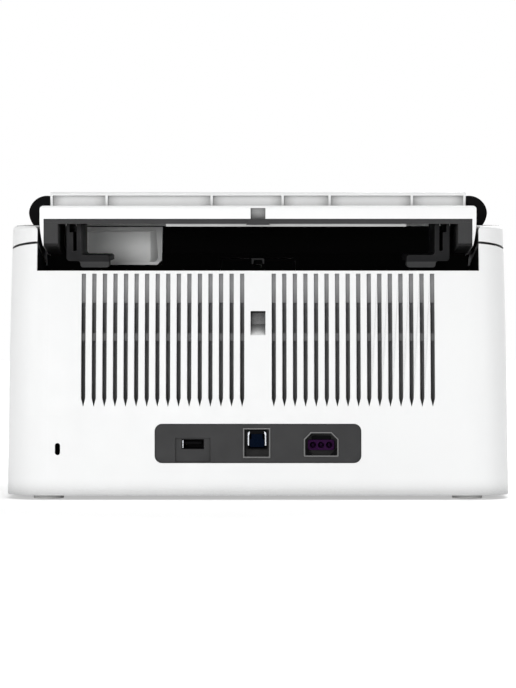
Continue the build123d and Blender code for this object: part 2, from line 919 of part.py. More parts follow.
with BuildPart() as port_panel:
    with BuildSketch(Plane.XZ.offset(-panel_y)):
        with Locations((0, (panel_bottom + panel_top) / 2)):
            RectangleRounded(
                panel_width - fit_gap, panel_top - panel_bottom - fit_gap, panel_radius
            )
        with Locations((usb_a_x, usb_a_z)):
            Rectangle(usb_a_width, usb_a_height, mode=Mode.SUBTRACT)
    extrude(amount=panel_thickness)
    block(
        (usb_a_x - usb_a_recess_width / 2, usb_a_x + usb_a_recess_width / 2),
        (panel_y - 0.9, panel_y + 1),
        (panel_bottom + 0.7, usb_a_recess_top),
        mode=Mode.SUBTRACT,
    )
    well_rear = panel_y + socket_rim / 2
    well_floor = panel_y - socket_well
    extrude(usb_b_outline(0), amount=well_rear - well_floor + 1)
    extrude(inlet_outline(0), amount=well_rear - well_floor + 1)
    extrude(usb_b_outline(socket_rim), amount=well_rear - well_floor, mode=Mode.SUBTRACT)
    extrude(inlet_outline(socket_rim), amount=well_rear - well_floor, mode=Mode.SUBTRACT)
    with BuildSketch(Plane.XZ.offset(-rear_y)):
        with Locations((usb_b_shell_x, usb_b_shell_z)):
            Rectangle(usb_b_shell_width, usb_b_shell_height)
        with Locations((inlet_x, inlet_plug_z)):
            Rectangle(inlet_plug_width, inlet_plug_height)
    extrude(amount=rear_y - well_floor + 2, mode=Mode.SUBTRACT)

with BuildPart() as usb_a_socket:
    a_x = (usb_a_x - usb_a_width / 2, usb_a_x + usb_a_width / 2)
    a_z = (usb_a_z - usb_a_height / 2, usb_a_z + usb_a_height / 2)
    block(a_x, (board_y + board_thickness, panel_y - 1), a_z)
    block(
        (a_x[0] + 0.5, a_x[1] - 0.5),
        (board_y + 6, rear_y),
        (a_z[0] + 0.5, a_z[1] - 0.5),
        mode=Mode.SUBTRACT,
    )
    block((a_x[0] + 1.4, a_x[1] - 1.4), (board_y + 6, panel_y - 3), (usb_a_z, usb_a_z + 1.4))
with BuildPart() as usb_b_socket:
    b_x = (usb_b_shell_x - usb_b_shell_width / 2, usb_b_shell_x + usb_b_shell_width / 2)
    b_z = (usb_b_shell_z - usb_b_shell_height / 2, usb_b_shell_z + usb_b_shell_height / 2)
    block(b_x, (board_y + board_thickness, panel_y - 0.6), b_z)
    top_edges = usb_b_socket.edges().filter_by(Axis.Y).group_by(Axis.Z)[-1]
    chamfer(top_edges, 1.4)
    block(
        (b_x[0] + 0.6, b_x[1] - 0.6),
        (board_y + 6, rear_y),
        (b_z[0] + 0.6, b_z[1] - 2),
        mode=Mode.SUBTRACT,
    )
    block((b_x[0] + 2.8, b_x[1] - 2.8), (board_y + 6, panel_y - 2), (b_z[0] + 2.6, b_z[1] - 3.6))
with BuildPart() as power_inlet:
    c_x = (inlet_x - inlet_plug_width / 2, inlet_x + inlet_plug_width / 2)
    c_z = (inlet_plug_z - inlet_plug_height / 2, inlet_plug_z + inlet_plug_height / 2)
    block(c_x, (board_y + board_thickness, panel_y - 2), c_z)
    fillet(power_inlet.edges().filter_by(Axis.Y), 1.0)
    with Locations(*[(inlet_x + shift, panel_y - 2, inlet_plug_z) for shift in (-4.8, 0, 4.8)]):
        Cylinder(1.9, 14, rotation=(90, 0, 0), mode=Mode.SUBTRACT)
    with Locations(*[(inlet_x + shift, panel_y - 7, inlet_plug_z) for shift in (-4.8, 0, 4.8)]):
        Cylinder(0.7, 6, rotation=(90, 0, 0))

# Main board behind the ports
with BuildPart() as main_board:
    block(
        (-board_width / 2, board_width / 2),
        (board_y, board_y + board_thickness),
        (pan_top, pan_top + board_height),
    )
    for x, rise, size in board_chips:
        chip_z = (pan_top + rise - size / 2, pan_top + rise + size / 2)
        block((x - size / 2, x + size / 2), (board_y - chip_height, board_y), chip_z)

# Lock plate: steel plate behind the security slot
with BuildPart() as lock_plate:
    with BuildSketch(Plane.XZ.offset(-rear_y + wall)):
        with Locations((lock_slot_x - 2, lock_slot_z)):
            Rectangle(lock_plate_width, lock_plate_height)
        with Locations((lock_slot_x, lock_slot_z)):
            SlotOverall(lock_slot_height, lock_slot_width, rotation=90, mode=Mode.SUBTRACT)
    extrude(amount=1.5)

# Hinge brackets and pins of the hatch
with BuildPart() as hatch_brackets:
    for x_low, x_high in mirrored(hatch_half_width - 4, hatch_half_width - 0.5):
        rod(hatch_pivot, bracket_radius, x_low, x_high)
        slab(
            [
                (hatch_pivot_y - bracket_radius + 2, pan_top),
                (hatch_pivot_y + bracket_foot, pan_top),
                (hatch_pivot_y + bracket_radius - 0.5, hatch_pivot_z),
                (hatch_pivot_y - bracket_radius + 2, hatch_pivot_z),
            ],
            x_low,
            x_high,
        )
    for x_low, x_high in mirrored(hatch_half_width - 4, half_width - 4):
        rod(hatch_pivot, hinge_pin_radius, x_low, x_high)

# Hatch shell: white front, rim and ribbed rear lip
slope = (hatch_shoulder_y - hatch_pivot_y, hatch_shoulder_z - hatch_pivot_z)
slope_length = hypot(*slope)
nose_angle = atan2(slope[1], slope[0]) + acos(hatch_nose_radius / slope_length)
nose_touch = (
    hatch_pivot_y + hatch_nose_radius * cos(nose_angle),
    hatch_pivot_z + hatch_nose_radius * sin(nose_angle),
)


def front_at(z):
    """Y of the hatch front face at a height."""
    share = (z - nose_touch[1]) / (hatch_shoulder_z - nose_touch[1])
    return nose_touch[0] + share * (hatch_shoulder_y - nose_touch[0])


rim_top = (hatch_rear_y - 4.5, overall_height)
rim_middle = (hatch_rear_y - 1.0, overall_height - 1.1)
rim_back = (hatch_rear_y, overall_height - 3.2)
lip_bottom = pocket_top_z + 1
lip_wall = rib_height + 2

control_face_lean = atan2(hatch_shoulder_z - nose_touch[1], hatch_shoulder_y - nose_touch[0])
panel_face = Plane(
    origin=(control_panel_x, front_at(control_panel_z), control_panel_z),
    x_dir=(1, 0, 0),
    z_dir=(0, -sin(control_face_lean), cos(control_face_lean)),
)

with BuildPart() as hatch_shell:
    with BuildSketch(Plane.YZ.offset(-hatch_half_width)):
        with BuildLine():
            face = Line((front_at(hatch_bottom), hatch_bottom), (hatch_shoulder_y, hatch_shoulder_z))
            brow = ThreePointArc(face @ 1, (hatch_shoulder_y + 7, overall_height - 6.8), rim_top)
            bead = ThreePointArc(brow @ 1, rim_middle, rim_back)
            Polyline(
                bead @ 1,
                (hatch_rear_y, lip_bottom),
                (hatch_rear_y - lip_wall, lip_bottom),
                (hatch_rear_y - lip_wall, overall_height - 6),
                (hatch_shoulder_y + 11, overall_height - 9),
                (hatch_shoulder_y + 3, hatch_shoulder_z - 1),
                (front_at(hatch_bottom) + wall, hatch_bottom),
                face @ 0,
            )
        make_face()
    extrude(amount=2 * hatch_half_width)
    edges = (-hatch_half_width + rib_end,) + rib_places + (hatch_half_width - rib_end,)
    for first, second in zip(edges, edges[1:]):
        block(
            (first + rib_width / 2, second - rib_width / 2),
            (hatch_rear_y - rib_height, hatch_rear_y + 1),
            (lip_bottom + 3, overall_height - 2.4),
            mode=Mode.SUBTRACT,
        )
    with BuildSketch(panel_face.offset(-3 * wall)):
        RectangleRounded(control_panel_width, control_panel_height, control_panel_radius)
    extrude(amount=4 * wall, mode=Mode.SUBTRACT)

# Hatch cheeks: dark ends that carry the hinge noses
cheek_face = half_width - side_lean / 2
cheek_top = shoulder_top(shoulder_front_y)
seam_side_gap = 1.4 * seam_gap
with BuildPart() as hatch_cheek_left:
    with BuildSketch(Plane.YZ.offset(-cheek_face)):
        with BuildLine():
            face = Line(nose_touch, (hatch_shoulder_y, hatch_shoulder_z))
            brow = ThreePointArc(face @ 1, (hatch_shoulder_y + 7, overall_height - 6.8), rim_top)
            bead = ThreePointArc(brow @ 1, rim_middle, rim_back)
            Polyline(
                bead @ 1,
                (hatch_rear_y + 2, head_foot_z),
                (seam_y(cheek_top) - seam_side_gap, cheek_top),
                (seam_y(hatch_pivot_z + 2) - seam_side_gap, hatch_pivot_z + 2),
                nose_touch,
            )
        make_face()
        with Locations(hatch_pivot):
            Circle(hatch_nose_radius)
    extrude(amount=cheek_face - hatch_half_width)
    with BuildSketch(Plane.XZ.offset(-big)):
        with BuildLine():
            crown = ThreePointArc(
                (-head_half_width, head_middle_z),
                (-head_half_width + 3.2, head_middle_z + 7.4),
                (0.7 - hatch_half_width, head_top_z),
            )
            under = ThreePointArc(
                crown @ 0,
                (-head_half_width + 0.7, head_middle_z - 3.6),
                (-head_half_width + 2.9, head_foot_z),
            )
            Polyline(
                crown @ 1,
                (1 - hatch_half_width, head_top_z),
                (1 - hatch_half_width, 0),
                (-cheek_face, 0),
                (-cheek_face, head_foot_z - 0.8),
                under @ 1,
            )
        make_face()
    extrude(amount=2 * big, mode=Mode.INTERSECT)
    rod(hatch_pivot, hinge_pin_radius + running_gap, 0, -half_width + 3.5, mode=Mode.SUBTRACT)

# Release button in the right cheek, with a tongue that reaches into the base
button_back = tongue_x - 1


def button_outline(grow):
    """Oval in the side view, grown by the clearance around the button."""
    with BuildSketch(Plane.YZ.offset(hatch_half_width)) as oval:
        with Locations((button_y, button_z)):
            SlotOverall(button_length + 2 * grow, button_height + 2 * grow, rotation=60)
    return oval.sketch


with BuildPart() as hatch_cheek_right:
    mirror(hatch_cheek_left.part, about=Plane.YZ)
    extrude(button_outline(fit_gap), amount=big, mode=Mode.SUBTRACT)
    block(
        (tongue_x - release_travel - fit_gap, tongue_x + tongue_thickness + fit_gap),
        (button_y - tongue_width / 2 - fit_gap, button_y + tongue_width / 2 + fit_gap),
        (0, button_z),
        mode=Mode.SUBTRACT,
    )
with BuildPart() as release_button:
    extrude(button_outline(0), amount=cheek_face + 0.8 - hatch_half_width)
    block((0, button_back), (-big, big), (0, big), mode=Mode.SUBTRACT)
    block(
        (tongue_x, tongue_x + tongue_thickness),
        (button_y - tongue_width / 2, button_y + tongue_width / 2),
        (tongue_tip_z, button_z),
    )

# Hatch inner cover: black wall between the feed slot and the rim
hatch_inner_line = [
    path_point(2, guide_back),
    path_point(1.3, guide_back + 31),
    (hatch_rear_y + 11, pocket_bottom_z + 7.7),
    (hatch_rear_y, lip_bottom),
]
hatch_inner_back = [(y - 2, z) for y, z in reversed(hatch_inner_line)]
inner_half_width = hatch_half_width - fit_gap
cover_half_width = pick_width / 2 + 3.7
cover_top_z = pocket_bottom_z + cover_rise
cover_foot_z = path_top_z + 5


def inner_wall_y(z):
    """Y of the hatch inner wall at a height."""
    for low, high in zip(hatch_inner_line, hatch_inner_line[1:]):
        if z <= high[1]:
            return low[0] + (z - low[1]) / (high[1] - low[1]) * (high[0] - low[0])
    return hatch_rear_y


with BuildPart() as hatch_inner_cover:
    slab(hatch_inner_line + hatch_inner_back, -inner_half_width, inner_half_width)
    block(
        (pocket_left, pocket_right),
        (-big, big),
        (pocket_bottom_z, pocket_top_z),
        mode=Mode.SUBTRACT,
    )
    block(
        (-pick_width / 2 - 4, pick_width / 2 + 4),
        (-big, big),
        (0, cover_top_z + fit_gap),
        mode=Mode.SUBTRACT,
    )

# Control pocket: pale moulded tub behind the control panel, open to the rear
with BuildPart() as control_pocket:
    tub_back = front_at(lip_bottom) + 6
    tub_front = inner_wall_y(pocket_bottom_z) + 2.6
    slab(
        [
            (tub_back, pocket_bottom_z),
            (tub_front, pocket_bottom_z),
            (tub_front, pocket_bottom_z + pocket_rim),
            (hatch_rear_y + 8.5, pocket_top_z),
            (tub_back, pocket_top_z),
        ],
        pocket_left,
        pocket_right,
    )
    low_corner = control_pocket.edges().filter_by(Axis.Y).group_by(Axis.Z)[0].sort_by(Axis.X)[0]
    chamfer(low_corner, pocket_chamfer)
    with BuildSketch(Plane.XY.offset(pocket_bottom_z + pocket_rim)) as cavity:
        Polygon(
            (pocket_left + pocket_rim, tub_front + 1),
            (pocket_right - pocket_rim, tub_front + 1),
            (pocket_right - pocket_rim, tub_back + pocket_rim),
            (pocket_left + pocket_rim + pocket_slant, tub_back + pocket_rim),
            align=None,
        )
    with BuildPart(mode=Mode.PRIVATE) as cavity_form:
        extrude(cavity.sketch, amount=pocket_height - 2 * pocket_rim)
        low_edge = cavity_form.edges().group_by(Axis.Z)[0].sort_by(Axis.X)[0]
        chamfer(low_edge, pocket_chamfer - 0.8)
    add(cavity_form.part, mode=Mode.SUBTRACT)

# Separation cover with its finger tab, over the separation roller
cover_line = [
    (inner_wall_y(cover_foot_z), cover_foot_z),
    hatch_inner_line[1],
    (inner_wall_y(cover_top_z), cover_top_z),
]
cover_back = [(y - cover_thickness, z) for y, z in reversed(cover_line)]
with BuildPart() as separation_cover:
    slab(cover_line + cover_back, -cover_half_width, cover_half_width)
    tab_y = (inner_wall_y(cover_top_z) - tab_root, inner_wall_y(cover_top_z) + tab_reach)
    block((-tab_half_width, tab_half_width), tab_y, (cover_top_z - tab_height, cover_top_z))
    block(
        (tab_wall - tab_half_width, tab_half_width - tab_wall),
        (tab_y[0] + tab_web, tab_y[1] + 1),
        (0, cover_top_z - tab_roof),
        mode=Mode.SUBTRACT,
    )

# Upper paper guide with bearing flanges, opposite the lower one
with BuildPart() as upper_paper_guide:
    slab(path_strip(2, path_length, guide_face, guide_back), -guide_half_width, guide_half_width)
    cut_windows(0, guide_back + 1, upper_window_half)
    flange = path_strip(flange_start, path_length - flange_end, guide_back, guide_back + flange_depth)
    for x_low, x_high in mirrored(guide_half_width - flange_thickness, guide_half_width):
        slab(flange, x_low, x_high)
    separation_centre = path_point(pick_s, shaft_drop + separation_radius)
    pinch_feed_centre = path_point(feed_s, shaft_drop + pinch_radius)
    pinch_exit_centre = path_point(exit_s, shaft_drop + pinch_radius)
    for centre in (separation_centre, pinch_feed_centre, pinch_exit_centre):
        rod(centre, pinch_shaft_radius + running_gap, -big, big, mode=Mode.SUBTRACT)

flange_reach = guide_half_width + 1.4
with BuildPart() as separation_roller:
    rod(separation_centre, separation_radius, -pick_width / 2, pick_width / 2)
    rod(separation_centre, pinch_shaft_radius, -flange_reach, flange_reach)
with BuildPart() as feed_pinch_rollers:
    for x in tyre_places:
        rod(pinch_feed_centre, pinch_radius, x - tyre_width / 2, x + tyre_width / 2)
    rod(pinch_feed_centre, pinch_shaft_radius, -flange_reach, flange_reach)
with BuildPart() as exit_pinch_rollers:
    for x in tyre_places:
        rod(pinch_exit_centre, pinch_radius, x - tyre_width / 2, x + tyre_width / 2)
    rod(pinch_exit_centre, pinch_shaft_radius, -flange_reach, flange_reach)

with BuildPart() as front_sensor:
    slab(
        path_strip(s_from, s_to, glass_face + glass_thickness, glass_face + sensor_depth),
        -sensor_width / 2,
        sensor_width / 2,
    )
    for x_low, x_high in mirrored(sensor_width / 2, guide_half_width - 2.5):
        slab(path_strip(s_from + 4, s_to - 4, guide_back, sensor_depth), x_low, x_high)
with BuildPart() as front_sensor_glass:
    slab(
        path_strip(s_from, s_to, glass_face, glass_face + glass_thickness),
        -sensor_width / 2,
        sensor_width / 2,
    )

# Hatch under panel, above the paper exit
with BuildPart() as hatch_under_panel:
    slab(
        [
            (front_at(hatch_bottom) + wall, hatch_bottom),
            path_point(path_length, guide_back),
            path_point(path_length - 3, guide_back),
            (front_at(hatch_bottom) + wall + 0.8, hatch_bottom + 2.5),
        ],
        -inner_half_width,
        inner_half_width,
    )

# Control panel on the front of the hatch
button_places = {
    "power_button": (0, 24, 6.0),
    "stop_button": (0, 0, 5.5),
    "start_button": (0, -29, 8.0),
}
button_travel = 0.8
with BuildPart() as control_panel:
    with BuildSketch(panel_face):
        RectangleRounded(control_panel_width, control_panel_height, control_panel_radius)
        for x, y, radius in button_places.values():
            with Locations((x, y)):
                Circle(radius + fit_gap, mode=Mode.SUBTRACT)
    extrude(amount=control_panel_step)
    with BuildSketch(panel_face):
        RectangleRounded(control_panel_width, control_panel_height, control_panel_radius)
    extrude(amount=-wall - control_panel_step)
    with BuildSketch(panel_face.offset(-1.2)):
        for x, y, radius in button_places.values():
            with Locations((x, y)):
                Circle(radius + fit_gap)
    extrude(amount=4, mode=Mode.SUBTRACT)


def panel_button(place):
    """Round cap that stands proud of the control panel."""
    x, y, radius = place
    with BuildPart() as cap:
        with BuildSketch(panel_face.offset(-1.2 + button_travel + 0.1)):
            with Locations((x, y)):
                Circle(radius)
        extrude(amount=2.6)
        fillet(cap.edges().sort_by(Axis.Y)[0], 0.4)
    return cap


power_button = panel_button(button_places["power_button"])
stop_button = panel_button(button_places["stop_button"])
start_button = panel_button(button_places["start_button"])

# Input tray lid: white shell that carries the plate and the arms
lid_side_low = tray_pivot_z - 6.5


def lid_top(y):
    """Height of the lid's upper face."""
    share = (tray_rear_y - y) / (tray_rear_y - tray_front_y)
    return tray_rear_top + share * (tray_front_top - tray_rear_top)


def tray_under(y):
    """Height of the tray plate's under side."""
    return plate_bottom + lid_slope * (tray_rear_y - y)


def tray_over(y):
    """Height of the tray plate's upper side."""
    return tray_under(y) + plate_thickness / cos(radians(lid_angle))


def tilted(piece):
    """The piece turned about the tray's rear edge, so that it lies parallel to the lid."""
    return piece.rotate(Axis((0, tray_rear_y, plate_bottom), (1, 0, 0)), -lid_angle)


with BuildPart() as input_tray_lid:
    slab(
        [
            (tray_rear_y, arm_bottom),
            (tray_rear_y, tray_rear_top),
            (tray_front_y, tray_front_top),
            (tray_front_y, tray_under(tray_front_y)),
            (tray_pivot_y - 20, tray_under(tray_pivot_y - 20)),
            (tray_pivot_y - 9, lid_side_low),
            (tray_pivot_y + 9, lid_side_low),
        ],
        -tray_half_width,
        tray_half_width,
    )
    lid_crown = [
        e for e in input_tray_lid.edges() if e.center().Z > tray_rear_top - 0.1
    ]
    fillet(lid_crown, 2.0)
    slab(
        [
            (tray_rear_y - lid_wall, 0),
            (tray_rear_y - lid_wall, lid_top(tray_rear_y) - lid_wall),
            (tray_front_y + lid_wall, lid_top(tray_front_y) - lid_wall),
            (tray_front_y + lid_wall, 0),
        ],
        -tray_half_width + lid_side_wall,
        tray_half_width - lid_side_wall,
        mode=Mode.SUBTRACT,
    )
    notch_top = plate_top + notch_height
    block(
        (-notch_half - 1.5, notch_half + 1.5),
        (tray_rear_y - 7, tray_rear_y - 1),
        (plate_bottom, notch_top + 1.2),
    )
    slab(
        [(0, 0), (0, tray_over(0)), (big, tray_over(big)), (big, 0)],
        -tray_half_width + lid_side_wall,
        tray_half_width - lid_side_wall,
        mode=Mode.SUBTRACT,
    )
    slab(
        [
            (tray_rear_y + 1, plate_bottom),
            (tray_rear_y - 5.5, plate_bottom),
            (tray_rear_y - 3.5, notch_top),
            (tray_rear_y + 1, notch_top),
        ],
        -notch_half,
        notch_half,
        mode=Mode.SUBTRACT,
    )
    rod(tray_pivot, pin_radius, -big, big, mode=Mode.SUBTRACT)
    with BuildSketch(Plane.XZ.offset(-big)):
        with BuildLine():
            leg_foot_x = tray_half_width - lid_side_wall + 0.4
            curl = ThreePointArc(
                (tray_half_width, plate_top),
                (tray_half_width - 0.45, (plate_top + arm_bottom) / 2),
                (leg_foot_x, arm_bottom),
            )
            Polyline(
                curl @ 1,
                (leg_foot_x, 0),
                (0, 0),
                (0, overall_height),
                (tray_half_width, overall_height),
                curl @ 0,
            )
        make_face()
        mirror(about=Plane.YZ)
    extrude(amount=2 * big, mode=Mode.INTERSECT)

arm_outer_x = tray_half_width - lid_side_wall
with BuildPart() as tray_arms:
    for x_low, x_high in mirrored(arm_outer_x - arm_width, arm_outer_x):
        slab(
            [
                (tray_rear_y - 0.6, arm_bottom + 1.5),
                (tray_rear_y - 0.6, tray_under(tray_rear_y - 0.6)),
                (tray_pivot_y - 22, tray_under(tray_pivot_y - 22)),
                (tray_pivot_y - 8, lid_side_low + 1),
                (tray_pivot_y + 8, lid_side_low + 1),
                (tray_rear_y - 4, arm_bottom),
            ],
            x_low,
            x_high,
        )
    for x_low, x_high in mirrored(arm_outer_x - arm_width, boss_end - 1):
        rod(tray_pivot, pin_radius, x_low, x_high)

slot_reach = 3.6
right_rack_y = rack_y + gear_module * rack_pinion_teeth / 2 + tooth_root + rack_back / 2
left_rack_y = 2 * rack_y - right_rack_y
slot_inner = paper_half_width - guide_travel - 1
slot_outer = paper_half_width + 10


def cut_guide_slots():
    """Slots that the necks of the paper guides run in."""
    block(
        (slot_inner, slot_outer),
        (right_rack_y - slot_reach, right_rack_y + slot_reach),
        (0, big),
        mode=Mode.SUBTRACT,
    )
    block(
        (-slot_outer, -slot_inner),
        (left_rack_y - slot_reach, left_rack_y + slot_reach),
        (0, big),
        mode=Mode.SUBTRACT,
    )


with BuildPart() as tray_plate:
    plate_rear = tray_rear_y - 0.6
    arm_inner = arm_outer_x - arm_width
    block(
        (-arm_outer_x, arm_outer_x),
        (tray_front_y + lid_wall, plate_rear),
        (plate_bottom, plate_top),
    )
    block((-arm_inner, arm_inner), (plate_rear - 2, plate_rear), (plate_bottom - 1, plate_top))
    cut_guide_slots()
    with Locations((0, rack_y, plate_top + 2.2)):
        Cylinder(2, 4.4)
    with BuildSketch(Plane.XZ.offset(-tray_rear_y + 0.1)):
        Polygon(
            (-5, plate_top),
            (5, plate_top),
            (7.1, rest_bottom + 1),
            (-7.1, rest_bottom + 1),
            align=None,
        )
    extrude(amount=2)
with BuildPart() as paper_rest:
    rest_y = (guide_rear_y + 2 * fit_gap, tray_rear_y - 2.7)
    block((-rest_left, rest_right), rest_y, (rest_bottom, plate_bottom))
tray_plate.part = tilted(tray_plate.part)
paper_rest.part = tilted(paper_rest.part)

# Paper guides with their racks
rack_low = plate_top + 0.4
rack_tooth_count = 21


def rack_points():
    """Rack outline with the pitch line on X and the teeth towards -Y."""
    step = pi * gear_module
    points = [(-rack_tail, tooth_root + rack_back), (-rack_tail, tooth_root)]
    for tooth in range(-2, rack_tooth_count - 2):
        for share, reach in (
            (-root_share, tooth_root),
            (-tip_share, -tooth_tip),
            (tip_share, -tooth_tip),
            (root_share, tooth_root),
        ):
            points.append(((tooth + share) * step, reach))
    points.append((paper_half_width + rack_head, tooth_root))
    points.append((paper_half_width + rack_head, tooth_root + rack_back))
    return points


def paper_guide(side):
    """Guide wall with its lip, foot, neck and rack; side is 1 on the right, -1 on the left."""
    guide_crown = plate_bottom - fit_gap
    with BuildPart() as wall_part:
        with BuildSketch(Plane.XZ.offset(-guide_rear_y)) as guide_profile:
            with Locations((paper_half_width, 0)):
                Polygon(
                    (0, guide_crown),
                    (guide_wall, guide_crown),
                    (guide_wall, guide_lip_bottom + guide_corner),
                    (guide_wall - guide_corner, guide_lip_bottom),
                    (guide_neck, guide_lip_bottom),
                    (guide_neck, guide_foot),
                    (-finger_tab, guide_foot),
                    (-finger_tab, guide_lip_top),
                    (0, guide_lip_top),
                    align=None,
                )
            tab_corners = guide_profile.vertices().filter_by(
                lambda v: v.Z < guide_foot + 1 or v.X < paper_half_width - 9
            )
            fillet(tab_corners, guide_tab_radius)
            with Locations((paper_half_width, 0)):
                Polygon(
                    (2.8, guide_crown + 1),
                    (guide_wall - 1.8, guide_crown + 1),
                    (guide_wall - 1.8, guide_crown - 5.8),
                    (4.9, guide_crown - 5.8),
                    (4.9, guide_lip_top + 2.5),
                    (2.8, guide_lip_top + 2.5),
                    align=None,
                    mode=Mode.SUBTRACT,
                )
        extrude(amount=guide_rear_y - guide_front_y)
        tab_x = (0, paper_half_width + guide_neck)
        tab_y = (0, guide_rear_y - guide_tab_length)
        block(tab_x, tab_y, (0, guide_lip_bottom), mode=Mode.SUBTRACT)
    with BuildPart() as rack:
        block(
            (paper_half_width + rack_neck, paper_half_width + rack_head),
            (right_rack_y - slot_reach + fit_gap, right_rack_y + slot_reach - fit_gap),
            (guide_crown - 1, rack_low),
        )
        with BuildSketch(Plane.XY.offset(rack_low)):
            with Locations((0, rack_y + pitch(rack_pinion_teeth) + mesh)):
                Polygon(*rack_points(), align=None)
        extrude(amount=rack_height)
    with BuildPart() as guide:
        if side > 0:
            add(wall_part.part)
            add(rack.part)
        else:
            mirror(wall_part.part, about=Plane.YZ)
            add(rack.part.rotate(Axis((0, rack_y, 0), (0, 0, 1)), 180))
    guide.part = tilted(guide.part)
    return guide


guide_right = paper_guide(1)
guide_left = paper_guide(-1)
with BuildPart() as guide_pinion:
    with BuildSketch(Plane.XY.offset(rack_low)):
        with Locations((0, rack_y)):
            Polygon(*gear_points(rack_pinion_teeth, pi / 2 + pi / rack_pinion_teeth), align=None)
            Circle(2 + running_gap, mode=Mode.SUBTRACT)
    extrude(amount=rack_height)
with BuildPart() as rack_cover:
    cover_low = rack_low + rack_height + fit_gap
    cover_x = (-paper_half_width - rack_tail, paper_half_width + rack_tail)
    cover_y = (left_rack_y - rack_cover_side, right_rack_y + rack_cover_side)
    block(cover_x, cover_y, (plate_top, cover_low + rack_cover_roof))
    block(
        (-paper_half_width - 20, paper_half_width + 20),
        (cover_y[0] + rack_cover_wall, cover_y[1] - rack_cover_wall),
        (0, cover_low),
        mode=Mode.SUBTRACT,
    )
    with Locations((0, rack_y, cover_low)):
        Cylinder(2 + running_gap, 6, mode=Mode.SUBTRACT)
guide_pinion.part = tilted(guide_pinion.part)
rack_cover.part = tilted(rack_cover.part)

# Output tray, its extension and the flip-up stop
tray_front = front_y + 0.4
tray_rail = 12.0
tray_skin = 2.5
stop_half_width = 28.0
stop_thickness = 2.2
stop_ear = 2.7
stop_pin_radius = 0.7
stop_pivot = (tray_front + 2.5, output_surface - 1.3)
stop_bay = stop_half_width + stop_ear + 2 * fit_gap
with BuildPart() as output_tray:
    block(
        (-output_half_width, output_half_width),
        (tray_front, output_rear_y),
        (output_floor, output_surface),
    )
    block(
        (-output_half_width + tray_rail, output_half_width - tray_rail),
        (tray_front - 1, output_rear_y - 6),
        (output_floor - 1, output_surface - tray_skin),
        mode=Mode.SUBTRACT,
    )
    block(
        (-stop_bay, stop_bay),
        (tray_front - 1, stop_pivot[0] + output_stop_length + 1.5),
        (output_floor - 1, output_surface + 1),
        mode=Mode.SUBTRACT,
    )
with BuildPart() as output_extension:
    extension_half = output_half_width - tray_rail - fit_gap
    extension_top = output_surface - tray_skin - fit_gap
    block(
        (-extension_half, extension_half),
        (tray_front, output_rear_y - 7),
        (output_floor + 0.5, extension_top),
    )
    block(
        (-extension_half + 6, extension_half - 6),
        (tray_front + 8, output_rear_y - 12),
        (output_floor, extension_top - 2.5),
        mode=Mode.SUBTRACT,
    )
    block(
        (-32, 32),
        (tray_front - 1, tray_front + 3),
        (output_floor, output_floor + 5),
        mode=Mode.SUBTRACT,
    )
    for x_low, x_high in mirrored(stop_half_width + fit_gap, stop_half_width + fit_gap + stop_ear):
        rod(stop_pivot, 1.3, x_low, x_high)
        block(
            (x_low, x_high),
            (stop_pivot[0] - 1.3, stop_pivot[0] + 1.3),
            (extension_top - 1, stop_pivot[1]),
        )
    for x_low, x_high in mirrored(stop_half_width - 3, stop_half_width + fit_gap + stop_ear):
        rod(stop_pivot, stop_pin_radius, x_low, x_high)
with BuildPart() as output_stop:
    rod(stop_pivot, stop_thickness / 2, -stop_half_width, stop_half_width)
    block(
        (-stop_half_width, stop_half_width),
        (stop_pivot[0], stop_pivot[0] + output_stop_length),
        (stop_pivot[1] - stop_thickness / 2, stop_pivot[1] + stop_thickness / 2),
    )
    for x_low, x_high in mirrored(stop_half_width - 3.2, stop_half_width + 1):
        rod(stop_pivot, stop_pin_radius + running_gap, x_low, x_high, mode=Mode.SUBTRACT)

# One file for each piece
pieces = {
    "rear_cover": rear_cover,
    "side_cover_right": side_cover_right,
    "side_cover_left": side_cover_left,
    "shoulder_cap_right": shoulder_cap_right,
    "shoulder_cap_left": shoulder_cap_left,
    "bay_liner": bay_liner,
    "vent_baffle": vent_baffle,
    "base_pan": base_pan,
    "feet": feet,
    "side_frames": side_frames,
    "shaft_bushes": shaft_bushes,
    "lower_paper_guide": lower_paper_guide,
    "rear_sensor": rear_sensor,
    "rear_sensor_glass": rear_sensor_glass,
    "pick_shaft": pick_shaft,
    "pick_tyre": pick_tyre,
    "feed_shaft": feed_shaft,
    "exit_shaft": exit_shaft,
    "feed_tyres": feed_tyres,
    "exit_tyres": exit_tyres,
    "motor_pinion": motor_pinion,
    "idler_gear": idler_gear,
    "relay_gear": relay_gear,
    "drive_motor": drive_motor,
    "port_panel": port_panel,
    "usb_a_socket": usb_a_socket,
    "usb_b_socket": usb_b_socket,
    "power_inlet": power_inlet,
    "main_board": main_board,
    "lock_plate": lock_plate,
    "hatch_brackets": hatch_brackets,
    "hatch_shell": hatch_shell,
    "hatch_cheek_right": hatch_cheek_right,
    "hatch_cheek_left": hatch_cheek_left,
    "hatch_inner_cover": hatch_inner_cover,
    "control_pocket": control_pocket,
    "separation_cover": separation_cover,
    "upper_paper_guide": upper_paper_guide,
    "separation_roller": separation_roller,
    "feed_pinch_rollers": feed_pinch_rollers,
    "exit_pinch_rollers": exit_pinch_rollers,
    "front_sensor": front_sensor,
    "front_sensor_glass": front_sensor_glass,
    "hatch_under_panel": hatch_under_panel,
    "control_panel": control_panel,
    "power_button": power_button,
    "stop_button": stop_button,
    "start_button": start_button,
    "release_button": release_button,
    "input_tray_lid": input_tray_lid,
    "tray_arms": tray_arms,
    "tray_plate": tray_plate,
    "paper_rest": paper_rest,
    "guide_right": guide_right,
    "guide_left": guide_left,
    "guide_pinion": guide_pinion,
    "rack_cover": rack_cover,
    "output_tray": output_tray,
    "output_extension": output_extension,
    "output_stop": output_stop,
}
for name, piece in pieces.items():
    piece.part.label = name
    export_step(piece.part, "parts/" + name + ".step")
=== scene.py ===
import math

